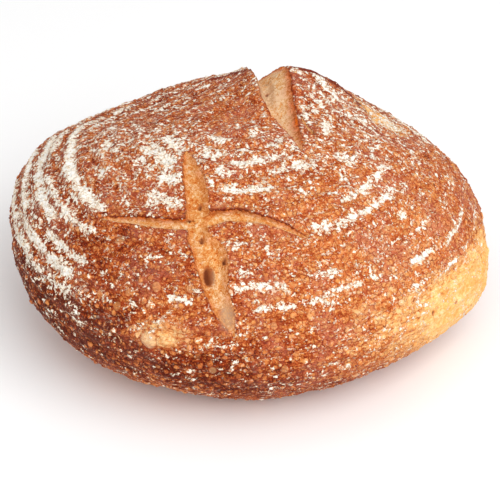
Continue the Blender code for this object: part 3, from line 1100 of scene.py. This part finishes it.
def buildScatterTree():
    kinds = {"Cover": "String", "Rounding": "Int", "Seed": "Int"}
    sizes = [(name, kinds.get(name, "Float")) for name in scattered["crustNubs"]]
    inputs = [("Geometry", "Geometry"), *sizes, ("Material", "Material")]
    tree, sockets = newGroup("GeometryNodeTree", "crustScatter", inputs, [("Geometry", "Geometry")])

    def draw(low, high, offset, kind="FLOAT"):  # each offset gives another draw from the same seed
        lowAt, highAt, outAt = {"FLOAT": (2, 3, 1), "FLOAT_VECTOR": (0, 1, 0)}[kind]
        inputs = {lowAt: low, highAt: high, "Seed": calc("ADD", sockets["Seed"], offset)}
        return addNode(tree, "FunctionNodeRandomValue", inputs, data_type=kind)[outAt]

    def store(geometry, name, value):
        inputs = {"Geometry": geometry, "Name": name, "Value": value}
        return addNode(tree, "GeometryNodeStoreNamedAttribute", inputs)[0]

    def move(geometry, offset):
        return addNode(tree, "GeometryNodeSetPosition", {"Geometry": geometry, "Offset": offset})[0]

    spreadInputs = {
        "Mesh": sockets["Geometry"],
        "Distance Min": sockets["Spacing"],
        "Density Max": sockets["Most in a square metre"],
        "Density Factor": fieldOf(tree, sockets["Cover"]),
        "Seed": sockets["Seed"],
    }
    spread = addNode(tree, "GeometryNodeDistributePointsOnFaces", spreadInputs, distribute_method="POISSON")
    share = calc("POWER", draw(0.0, 1.0, 1), scatterShape["smallerMore"])
    size = remap(share, 0.0, 1.0, sockets["Smallest"], sockets["Largest"], smooth=False)
    toned = store(spread["Points"], "tone", draw(0.0, 1.0, 2))
    drop = size * sockets["Flatness"] * sockets["Sink"]
    sunk = move(toned, scaled(spread["Normal"], drop * -1.0))
    lean = scaled(draw((-1, -1, -9), (1, 1, 9), 3, "FLOAT_VECTOR"), sockets["Tilt"])
    turnInputs = {"Rotation": spread["Rotation"], "Rotate By": lean}
    turned = addNode(tree, "FunctionNodeRotateRotation", turnInputs, rotation_space="LOCAL")[0]
    stretch = draw(scatterShape["narrowest"], scatterShape["widest"], 4, "FLOAT_VECTOR")
    wide, deep, high = (partOf(stretch, axis) * size for axis in range(3))
    scale = addNode(tree, "ShaderNodeCombineXYZ", {0: wide, 1: deep, 2: high * sockets["Flatness"]})[0]
    ballInputs = {"Radius": 1.0, "Subdivisions": sockets["Rounding"]}
    ball = addNode(tree, "GeometryNodeMeshIcoSphere", ballInputs)["Mesh"]
    place = addNode(tree, "GeometryNodeInputPosition")[0]
    domed = store(ball, "dome", partOf(place, 2))
    placeInputs = {"Points": sunk, "Instance": domed, "Rotation": turned, "Scale": scale}
    placed = addNode(tree, "GeometryNodeInstanceOnPoints", placeInputs)[0]
    real = addNode(tree, "GeometryNodeRealizeInstances", {0: placed})[0]
    jitter = scaled(swayOver(place, scatterShape["unevenScale"], 1.0), sockets["Unevenness"] * 2.0)
    smooth = addNode(tree, "GeometryNodeSetShadeSmooth", {0: move(real, jitter)})[0]
    return endTree(tree, smooth, sockets["Material"])


def grow(name, mesh, tree, values, material):  # runs a tree on a mesh and returns a plain piece
    piece = bpy.data.objects.new(name, mesh)
    bpy.context.scene.collection.objects.link(piece)
    modifier = piece.modifiers.new(tree.name, "NODES")
    modifier.node_group = tree
    values = values | {"Material": material}
    for item in tree.interface.items_tree:
        if item.item_type == "SOCKET" and item.in_out == "INPUT" and item.name in values:
            modifier[item.identifier] = values[item.name]
    graph = bpy.context.evaluated_depsgraph_get()
    result = bpy.data.meshes.new_from_object(
        piece.evaluated_get(graph), preserve_all_data_layers=True, depsgraph=graph
    )
    piece.modifiers.remove(modifier)
    piece.data = result
    result.name = name
    result.materials.clear()
    result.materials.append(material)
    triangles = sum(len(face.vertices) - 2 for face in result.polygons)
    print(f"{name}: {triangles} triangles")
    return piece


def scatterOn(crust, tree, name, material):
    piece = grow(name, crust.data.copy(), tree, scattered[name], material)
    for layer in list(piece.data.attributes):
        needed = layer.is_internal or layer.is_required or layer.domain == "CORNER"
        if not needed and layer.name not in (*keptAttributes, "material_index", "sharp_face"):
            piece.data.attributes.remove(layer)
    return piece


# Colours as seen in daylight, from 0 to 255, made linear for the nodes
def tint(red, green, blue):
    values = [channel / 255 for channel in (red, green, blue)]
    linear = [value / 12.92 if value <= 0.04045 else ((value + 0.055) / 1.055) ** 2.4 for value in values]
    return (*linear, 1.0)


def paint(share, first, second):  # the second colour over the first; a colour may go by its name
    inputs = {0: share}
    for slot, colour in ((6, first), (7, second)):
        inputs[slot] = tint(*crustColours[colour]) if isinstance(colour, str) else colour
    return addNode(treeOf(share), "ShaderNodeMix", inputs, data_type="RGBA")[2]


def ramp(value, stops):
    found = addNode(treeOf(value), "ShaderNodeValToRGB", {0: value})
    elements = found.node.color_ramp.elements
    while len(elements) < len(stops):
        elements.new(0.5)
    for element, (place, colour) in zip(elements, stops):
        element.position = place
        element.color = tint(*colour)
    return found[0]


# The scales here are in nub sizes.
grainShape = {
    "warp": (1.3, 3.0, 0.9),  # scale, detail and how far
    "smallScale": 2.3,
    "fine": (4.2, 3.0, 0.7),
    "middle": (1.5, 2.0),
    "raggedness": 0.7,
    "nubReach": 0.50,
    "nubEdge": (-0.08, 0.16),
    "smallShare": 0.75,
    "gapEdge": (0.02, 0.14),
    "gapWhere": (0.40, 0.56),
    "fineShare": 0.52,
    "middleShare": 0.48,
    "heights": (0.45, 0.55, -0.35),  # of nub, fine grain and gap
}


def buildGrainGroup():  # the crust's fine grain: round nubs, thin gaps between them and a fine noise
    shape = grainShape
    inputs = [("Vector", "Vector"), ("Nub size", "Float", 0.003)]
    outputs = [("Tone", "Float"), ("Nub", "Float"), ("Gap", "Float"), ("Height", "Float")]
    group, sockets = newGroup("ShaderNodeTree", "bakedGrain", inputs, outputs)
    place = scaled(sockets["Vector"], 1.0 / sockets["Nub size"])
    warpScale, warpDetail, warp = shape["warp"]
    warped = vectorCalc("MULTIPLY_ADD", swayOver(place, warpScale, warpDetail), (warp, warp, warp), place)
    fine = noiseOver(place, *shape["fine"])
    middle = noiseOver(place, *shape["middle"])
    ragged = (fine - 0.5) * shape["raggedness"]

    def nubsOf(scale, most):  # each cell's nub has its own radius, and the smallest have none
        cells = cellsOver(warped, scale)
        reach = partOf(cells["Color"]) * shape["nubReach"] + ragged - cells["Distance"]
        return remap(reach, *shape["nubEdge"], 0.0, most)

    nub = calc("MAXIMUM", nubsOf(1.0, 1.0), nubsOf(shape["smallScale"], shape["smallShare"]))
    edges = cellsOver(warped, 1.0, "DISTANCE_TO_EDGE")
    gap = remap(edges["Distance"], *shape["gapEdge"], 1.0, 0.0) * remap(middle, *shape["gapWhere"])
    tone = fine * shape["fineShare"] + middle * shape["middleShare"]
    nubRise, fineRise, gapRise = shape["heights"]
    height = nub * nubRise + fine * fineRise + gap * gapRise
    addNode(group, "NodeGroupOutput", {"Tone": tone, "Nub": nub, "Gap": gap, "Height": height})
    return group


toneShape = {
    "alongRings": (1.0, 1.0, 3.2),
    "roughness": 0.62,
    # share of the size that is named, and weight
    "patch": (1.0, 0.75),
    "patchAlongRings": (0.40, 0.95),
    "streak": (1.0, 0.60),
    "mauve": (2.2, -0.03, 0.12),  # share of the patch size, and the mask's two edges
    "dustDetail": 1.5,
    "dustStreak": (0.7, 0.9),
    "dustByFlour": 0.16,
    "dustEdge": (0.164, 0.214),
}


def buildToneGroup():  # how the bake varies: patches, streaks along the rings, mauve spots and flour dust
    shape = toneShape
    inputs = [("Vector", "Vector"), ("Ring place", "Vector"), ("Flour", "Float", 0.0)]
    inputs += [("Patch size", "Float", 0.009), ("Streak size", "Float", 0.012), ("Dust size", "Float", 0.001)]
    outputs = [("Tone", "Float"), ("Mauve", "Float"), ("Dust", "Float")]
    group, sockets = newGroup("ShaderNodeTree", "bakedTone", inputs, outputs)

    def cloud(vector, size, share, detail=4.0):
        return noiseOver(vector, (1 / share) / sockets[size], detail, shape["roughness"]) - 0.5

    place = sockets["Vector"]
    along = vectorCalc("MULTIPLY", sockets["Ring place"], shape["alongRings"])
    tone = cloud(place, "Patch size", shape["patch"][0]) * shape["patch"][1]
    tone = cloud(along, "Patch size", shape["patchAlongRings"][0]) * shape["patchAlongRings"][1] + tone
    tone = cloud(along, "Streak size", shape["streak"][0]) * shape["streak"][1] + tone
    mauveShare, *mauveEdge = shape["mauve"]
    mauve = remap(cloud(place, "Patch size", mauveShare), *mauveEdge)
    dust = cloud(place, "Dust size", 1.0, shape["dustDetail"])
    dust = cloud(along, "Streak size", shape["dustStreak"][0]) * shape["dustStreak"][1] + dust
    dust = remap(sockets["Flour"] * shape["dustByFlour"] + dust, *shape["dustEdge"])
    addNode(group, "NodeGroupOutput", {"Tone": tone, "Mauve": mauve, "Dust": dust})
    return group


flourShape = {
    "alongRings": (1.0, 1.0, 1.9),
    # scale, detail, roughness and weight
    "patches": (185.0, 3.0, 0.6, 2.4),
    "specks": (430.0, 2.0, 0.65, 2.9),
    "breaks": (75.0, 2.0, 0.5, 1.5),
    "cover": 0.92,
    "height": (0.45, 0.30),  # middle and weight
    "crackWarp": (420.0, 3.0, 0.004),
    "crackSize": 0.0030,
    "cracks": (0.02, 0.10, 0.30),  # edge and strength
    "thick": (0.50, 0.58),
    "thin": (0.30, 0.52),
    "thinStrength": 0.50,
}


def buildFlourGroup():  # where flour lies: the rings' cover, broken up by patches, specks and cracks
    shape = flourShape
    inputs = [("Vector", "Vector"), ("Ring place", "Vector"), ("Cover", "Float", 0.0)]
    inputs += [("Height", "Float", 0.5), ("Crack size", "Float", 0.003)]
    outputs = [("Thick", "Float"), ("Thin", "Float"), ("Tone", "Float")]
    group, sockets = newGroup("ShaderNodeTree", "bakedFlour", inputs, outputs)
    place = sockets["Vector"]
    along = vectorCalc("MULTIPLY", sockets["Ring place"], shape["alongRings"])
    warpScale, warpDetail, warp = shape["crackWarp"]
    warped = vectorCalc("MULTIPLY_ADD", swayOver(place, warpScale, warpDetail), (warp, warp, warp), place)
    cracks = cellsOver(warped, 1.0 / sockets["Crack size"], "DISTANCE_TO_EDGE")
    value = sockets["Cover"] * shape["cover"]
    for vector, name in ((along, "patches"), (place, "specks"), (along, "breaks")):
        *noiseShape, weight = shape[name]
        value = (noiseOver(vector, *noiseShape) - 0.5) * weight + value
    middle, weight = shape["height"]
    value = (sockets["Height"] - middle) * weight + value
    value = value - remap(cracks["Distance"], *shape["cracks"], 0.0)
    thick = remap(value, *shape["thick"])
    thin = remap(value, *shape["thin"])
    tone = calc("MULTIPLY", value - 0.5, 1.2, clamp=True)
    addNode(group, "NodeGroupOutput", {"Thick": thick, "Thin": thin, "Tone": tone})
    return group


crustColours = {
    "base": (
        (0.18, (84, 22, 7)),
        (0.36, (152, 56, 18)),
        (0.50, (194, 98, 46)),
        (0.64, (220, 140, 80)),
        (0.82, (236, 186, 134)),
    ),
    "golden": ((0.2, (228, 138, 60)), (0.5, (249, 182, 102)), (0.8, (254, 220, 158))),
    "mauve": (184, 110, 92),
    "nub": (226, 146, 72),
    "dust": (248, 228, 202),
    # painted shade in gaps between grains, along blister outlines and at the feet of nubs; darker where the
    # bake is dark
    "gap": (146, 42, 10),
    "darkGap": (66, 18, 8),
    # the dark line along the lips: darker bake with painted shade
    "rim": (118, 30, 8),
    "flour": ((0.0, (238, 218, 190)), (0.4, (249, 240, 224)), (0.8, (254, 251, 245))),
    # thin flour over the crust; also painted shade at the feet of flour clumps
    "thinFlourAndShade": (230, 190, 150),
    "crumb": (
        (0.28, (204, 100, 34)),
        (0.42, (226, 140, 66)),
        (0.56, (236, 176, 108)),
        (0.72, (254, 224, 184)),
    ),
    # crumb on the slash walls: browned, and darkened with painted shade under the lips
    "crumbBrown": ((0.35, (146, 44, 6)), (0.65, (230, 110, 26))),
    # painted shade in the holes, lighter towards their edges
    "holeShadeEdge": (204, 124, 72),
    "hole": (118, 58, 32),
    "blister": (230, 156, 88),
    "paleBlister": (246, 214, 170),
    "film": (206, 172, 140),
    "bran": ((0.2, (140, 74, 38)), (0.5, (200, 126, 74)), (0.8, (230, 180, 128))),
    "clump": ((0.25, (236, 218, 192)), (0.6, (250, 243, 230))),
}
crustFinish = {
    "nubSize": 0.0030,
    "grainWeight": 1.5,
    "nubLift": 0.07,
    "nubStrength": 0.48,
    "patchSize": 0.0090,
    "streakSize": 0.0120,
    "patchWeight": 0.85,
    "dustSize": 0.0014,
    "dustStrength": 0.58,
    "mauveStrength": 0.45,
    "gapStrength": 0.80,
    "darkShift": 0.30,
    "calmShift": 0.10,
    "calmGrain": 0.35,  # how much quieter the grain is where the bake is calm
    "paleShift": 0.28,
    "goldenByTone": 0.9,
    "rimUneven": 0.8,
    "blisterUneven": 0.9,
    "roughness": 0.6,
    "nubRoughness": 0.45,
    "flourRoughness": 0.9,
    "bumpHeight": 0.0006,
    "nubBumpHeight": 0.0003,
    "nubBump": 0.6,
    "flourBump": 0.35,
    "crumbBump": 1.3,
    "specular": 0.08,
    "nubSpecular": 0.14,
}
# Each mask goes smoothly between two values; the last two numbers are its strength at the first and at
# the second.
crustMasks = {
    "golden": (0.12, 0.82),
    "nub": (0.22, 0.56, 0.2, 1.0),
    "rim": (0.10, 0.60, 0.0, 0.9),
    "blister": (0.70, 1.00, 0.38, 0.0),
    "blisterOutline": (0.0, 0.20, 0.50, 0.0),
    "crumb": (0.36, 0.60),
    # the holes' painted shade
    "holeShadeEdge": (0.0, 0.45, 0.0, 0.9),
    "hole": (0.3, 0.9, 0.0, 0.95),
    "film": (0.3, 0.6, 0.85, 0.35),
    # painted light on the tops of nubs, and painted shade at their feet
    "nubTop": (0.0, 0.9),
    "nubRim": (-0.1, 0.55),
    # painted shade at the feet of flour clumps
    "clumpRim": (-0.1, 0.3, 0.7, 0.0),
}
# How much weaker a mask gets where another is full
weaker = {
    "gilding by pale bake": 0.8,
    "mauve by dark": 0.7,
    "dust by dark": 0.8,
    "film by holes": 0.8,
    "nub top by dark": 0.3,
    "nub rim by golden": 0.7,
}
crumbFinish = {
    # scale and detail of the crumb's tone, of its fine grain and of its patches
    "tone": (480.0, 4.0),
    "fine": (1500.0, 2.0),
    "patch": (150.0, 2.0),
    "roughness": 0.7,
    "fineWeight": 0.75,
    "patchWeight": 0.6,
    "brownPatch": 0.9,
    "raggedness": 1.3,
    "rougher": 0.2,
}


def weakened(mask, name):
    return mask * -weaker[name] + 1.0


def crustSurface(place, groups, lift, weight=1.0, darkShare=1.0):  # colour and grain, lifted by a tone
    tree = treeOf(place)
    finish = crustFinish
    grain = useGroup(tree, groups["grain"], {"Vector": place, "Nub size": finish["nubSize"]})
    ringPlace = attributeOf(tree, "ringPlace", "Vector")
    inputs = {"Vector": place, "Ring place": ringPlace, "Flour": attributeOf(tree, "flour")}
    inputs |= {"Patch size": finish["patchSize"], "Streak size": finish["streakSize"]}
    bake = useGroup(tree, groups["tone"], inputs | {"Dust size": finish["dustSize"]})
    golden = bake["Tone"] * finish["goldenByTone"] + attributeOf(tree, "golden")
    golden = remap(golden, *crustMasks["golden"])
    dark = attributeOf(tree, "dark")
    calm = attributeOf(tree, "calm")
    paleBake = attributeOf(tree, "paleBake")
    shade = bake["Tone"] * finish["patchWeight"] + (grain["Tone"] - 0.5) * finish["grainWeight"]
    tone = shade * (calm * -finish["calmGrain"] + weight) + lift
    tone = grain["Nub"] * (finish["nubLift"] * weight) + tone
    # darker where the bake is dark; low on the loaf this is also painted shade
    tone = dark * (-finish["darkShift"] * darkShare) + tone
    tone = calm * finish["calmShift"] + tone
    tone = paleBake * finish["paleShift"] + tone
    ungilt = (1.0 - golden) * weakened(paleBake, "gilding by pale bake")
    mauveMask = bake["Mauve"] * finish["mauveStrength"] * weakened(dark, "mauve by dark") * ungilt
    base = paint(mauveMask, ramp(tone, crustColours["base"]), "mauve")
    nubMask = grain["Nub"] * remap(tone, *crustMasks["nub"]) * (finish["nubStrength"] * weight)
    base = paint(nubMask, base, "nub")
    base = paint(golden, base, ramp(tone, crustColours["golden"]))
    # painted shade in the gaps between the grains
    gapShadeMask = grain["Gap"] * (finish["gapStrength"] * weight) * ungilt
    base = paint(gapShadeMask, base, paint(dark, "gap", "darkGap"))
    dustMask = bake["Dust"] * finish["dustStrength"] * weakened(dark, "dust by dark")
    return paint(dustMask, base, "dust"), grain


def layFlour(place, base, height, groups):  # the colour with flour on it, and where the flour is thick
    tree = treeOf(place)
    ringPlace = attributeOf(tree, "ringPlace", "Vector")
    inputs = {"Vector": place, "Ring place": ringPlace, "Cover": attributeOf(tree, "flour")}
    inputs |= {"Height": height, "Crack size": flourShape["crackSize"]}
    cover = useGroup(tree, groups["flour"], inputs)
    base = paint(cover["Thin"] * flourShape["thinStrength"], base, "thinFlourAndShade")
    return paint(cover["Thick"], base, ramp(cover["Tone"], crustColours["flour"])), cover["Thick"]


def newMaterial(name, specular=0.5):
    material = bpy.data.materials.new(name)
    material.use_nodes = True
    surface = material.node_tree.nodes["Principled BSDF"].inputs
    surface["Specular IOR Level"].default_value = specular
    surface["Metallic"].default_value = 0.0
    return material, surface


def placeOf(material):
    return addNode(material.node_tree, "ShaderNodeTexCoord")["Object"]


def roughnessOf(flourMask, bare):
    return remap(flourMask, 0.0, 1.0, bare, crustFinish["flourRoughness"], smooth=False)


def finishSurface(surface, base, rough, height, strength, distance):
    plug(surface["Base Color"], base)
    plug(surface["Roughness"], rough)
    inputs = {"Height": height, "Strength": strength, "Distance": distance}
    plug(surface["Normal"], addNode(treeOf(height), "ShaderNodeBump", inputs)[0])


def buildCrustMaterial(groups):
    material, surface = newMaterial("bakedCrust", crustFinish["specular"])
    tree, place = material.node_tree, placeOf(material)
    base, grain = crustSurface(place, groups, 0.5)
    uneven = grain["Tone"] - 0.5
    # along the lips, a dark line of darker bake with painted shade
    rim = uneven * crustFinish["rimUneven"] + attributeOf(tree, "rimBakeAndShade")
    base = paint(remap(rim, *crustMasks["rim"]), base, "rim")
    # round blisters, fading towards their outline, with painted shade along the outline
    pale = attributeOf(tree, "pale")
    reach = uneven * crustFinish["blisterUneven"] + attributeOf(tree, "blister")
    base = paint(remap(reach, *crustMasks["blister"]), base, paint(pale, "blister", "paleBlister"))
    base = paint(remap(calc("ABSOLUTE", reach - 1.0), *crustMasks["blisterOutline"]), base, "gap")
    base, flourMask = layFlour(place, base, grain["Height"], groups)
    # crumb in the slashes, browned beside the lips and darkened there with painted shade
    crumb = crumbFinish
    clouds = [noiseOver(place, *crumb[name], crumb["roughness"]) for name in ("tone", "fine", "patch")]
    crumbTone, fine, patch = clouds
    ragged = (crumbTone - 0.5) * crumb["raggedness"] + attributeOf(tree, "crumb")
    crumbMask = remap(ragged, *crustMasks["crumb"])
    softTone = (fine - 0.5) * crumb["fineWeight"] + ((patch - 0.5) * crumb["patchWeight"] + crumbTone)
    brownAndShadeMask = calc("MULTIPLY_ADD", patch - 0.5, crumb["brownPatch"], attributeOf(tree, "brownAndShade"), clamp=True)
    crumbBase = ramp(softTone + pale, crustColours["crumb"])
    base = paint(crumbMask, base, paint(brownAndShadeMask, crumbBase, ramp(softTone, crustColours["crumbBrown"])))
    # holes filled with painted shade, and the grey film over some of the crumb
    holeShadeMask = attributeOf(tree, "hole")
    for name in ("holeShadeEdge", "hole"):
        base = paint(remap(holeShadeMask, *crustMasks[name]), base, name)
    filmMask = attributeOf(tree, "film") * remap(softTone, *crustMasks["film"])
    base = paint(filmMask * weakened(holeShadeMask, "film by holes"), base, "film")
    rough = roughnessOf(flourMask, crustFinish["roughness"])
    rough = calc("MULTIPLY_ADD", crumbMask, crumb["rougher"], rough, clamp=True)
    crustHeight = flourMask * crustFinish["flourBump"] + grain["Height"]
    crumbHeight = (crumbTone + fine) * crustFinish["crumbBump"]
    height = addNode(tree, "ShaderNodeMix", {0: crumbMask, 2: crustHeight, 3: crumbHeight})[0]
    finishSurface(surface, base, rough, height, 1.0, crustFinish["bumpHeight"])
    return material


# How the nubs and the blisters differ from the crust under them, with painted light on their tops and painted
# shade at their feet
nubLook = {
    "spread": 0.24,
    "domeLift": 0.10,
    "grain": 0.85,
    "orange": 0.22,
    "rim": 0.6,
    "darkShare": 0.8,
}
blisterLook = {
    "spread": 0.26,
    "domeLift": 0.12,
    "grain": 0.80,
    "orange": 0.24,
    "rim": 0.9,
    "darkShare": 0.60,
}


def buildNubMaterial(name, groups, look):
    material, surface = newMaterial(name, crustFinish["nubSpecular"])
    tree, place = material.node_tree, placeOf(material)
    dome = attributeOf(tree, "dome")
    dark = attributeOf(tree, "dark")
    own = (attributeOf(tree, "tone") - 0.5) * look["spread"] + 0.5
    # painted light: lighter towards the top of each dome
    own = dome * look["domeLift"] + own
    base, grain = crustSurface(place, groups, own, look["grain"], look["darkShare"])
    # painted light: more orange on the tops
    litTop = remap(dome, *crustMasks["nubTop"]) * look["orange"]
    base = paint(litTop * weakened(dark, "nub top by dark"), base, "nub")
    # painted shade at their feet
    rim = remap(dome, *crustMasks["nubRim"], look["rim"], 0.0)
    rim = rim * weakened(attributeOf(tree, "golden"), "nub rim by golden")
    base = paint(rim, base, paint(dark, "gap", "darkGap"))
    base, flourMask = layFlour(place, base, dome * 0.3 + 0.4, groups)  # more flour on their tops
    rough = roughnessOf(flourMask, crustFinish["nubRoughness"])
    finishSurface(surface, base, rough, grain["Height"], crustFinish["nubBump"], crustFinish["nubBumpHeight"])
    return material


branFinish = {"fineScale": 1100.0, "ownTone": 0.6, "specular": 0.3, "roughness": 0.75}
clumpFinish = {
    "fineScale": 1300.0,
    "ownTone": 0.5,
    "specular": 0.15,
    "roughness": 0.95,
    "bump": 0.8,
    "bumpHeight": 0.0002,
}


def flakeTone(place, finish):  # a flake's own tone mixed with a fine noise, and the noise
    fine = noiseOver(place, finish["fineScale"], 3.0, 0.7)
    return attributeOf(treeOf(place), "tone") * finish["ownTone"] + fine * (1.0 - finish["ownTone"]), fine


def buildBranMaterial():
    material, surface = newMaterial("toastedBran", branFinish["specular"])
    tone, _ = flakeTone(placeOf(material), branFinish)
    plug(surface["Base Color"], ramp(tone, crustColours["bran"]))
    surface["Roughness"].default_value = branFinish["roughness"]
    return material


def buildFlourMaterial():
    material, surface = newMaterial("bakedFlour", clumpFinish["specular"])
    tone, fine = flakeTone(placeOf(material), clumpFinish)
    # painted shade at the feet of the clumps
    rim = remap(attributeOf(material.node_tree, "dome"), *crustMasks["clumpRim"])
    base = paint(rim, ramp(tone, crustColours["clump"]), "thinFlourAndShade")
    bump = clumpFinish["bump"], clumpFinish["bumpHeight"]
    finishSurface(surface, base, clumpFinish["roughness"], fine, *bump)
    return material


def buildStage():
    floorMesh = bpy.data.meshes.new("floor")
    half = 6.0
    corners = [(-half, -half, 0), (half, -half, 0), (half, half, 0), (-half, half, 0)]
    floorMesh.from_pydata(corners, [], [(0, 1, 2, 3)])
    floor = bpy.data.objects.new("floor", floorMesh)
    bpy.context.scene.collection.objects.link(floor)
    material, surface = newMaterial("paleFloor", 0.2)
    surface["Base Color"].default_value = (0.93, 0.93, 0.93, 1)
    surface["Roughness"].default_value = 0.9
    floorMesh.materials.append(material)


studio = {
    "worldStrength": 0.80,
    "keyPower": 12.5,
    "keySize": 1.2,
    "keyPlace": (0.60, -0.70, 1.00),
    "fillPower": 2.0,
    "fillSize": 1.2,
    "fillPlace": (-0.9, -1.0, 0.55),
}
view = {"elevation": 36.0, "distance": 0.95, "target": (0.0008, 0.0, 0.0332), "lens": 121.8, "sensor": 36.0}


def aim(thing, place, target):
    thing.location = place
    thing.rotation_euler = (Vector(target) - Vector(place)).to_track_quat("-Z", "Y").to_euler()


def buildStudio():
    scene = bpy.context.scene
    world = bpy.data.worlds.new("studio")
    world.use_nodes = True
    sky = world.node_tree.nodes["Background"].inputs
    sky["Color"].default_value = (1, 1, 1, 1)
    sky["Strength"].default_value = studio["worldStrength"]
    scene.world = world
    for name in ("key", "fill"):
        data = bpy.data.lights.new(name, "AREA")
        data.energy = studio[name + "Power"]
        data.size = studio[name + "Size"]
        lamp = bpy.data.objects.new(name, data)
        scene.collection.objects.link(lamp)
        aim(lamp, studio[name + "Place"], (0, 0, 0.05))
    tilt = math.radians(view["elevation"])
    back = Vector((0, -math.cos(tilt), math.sin(tilt)))
    data = bpy.data.cameras.new("camera")
    data.lens = view["lens"]
    data.sensor_width = view["sensor"]
    camera = bpy.data.objects.new("camera", data)
    scene.collection.objects.link(camera)
    aim(camera, Vector(view["target"]) + back * view["distance"], view["target"])
    scene.camera = camera
    scene.view_settings.view_transform = "Standard"


shaderGroups = {"grain": buildGrainGroup(), "tone": buildToneGroup(), "flour": buildFlourGroup()}
crustMaterial = buildCrustMaterial(shaderGroups)
crustMesh = buildCrustMesh()
print("crust net:", len(crustMesh.polygons), "faces")
loafCrust = grow("loafCrust", crustMesh, buildReliefTree(), relief, crustMaterial)
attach(loafCrust, "root")
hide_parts("loaf")

scatterTree = buildScatterTree()
nubMaterial = buildNubMaterial("bakedNubs", shaderGroups, nubLook)
scatterMaterials = {
    "crustNubs": (nubMaterial, "crust"),
    "crustGrains": (nubMaterial, "crust"),
    "crustBlisters": (buildNubMaterial("bakedBlisters", shaderGroups, blisterLook), "crust"),
    "branFlakes": (buildBranMaterial(), "crust"),
    "flourClumps": (buildFlourMaterial(), "flour"),
}
for pieceName, (pieceMaterial, slotName) in scatterMaterials.items():
    piece = scatterOn(loafCrust, scatterTree, pieceName, pieceMaterial)
    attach(piece, "root")
buildStage()
buildStudio()
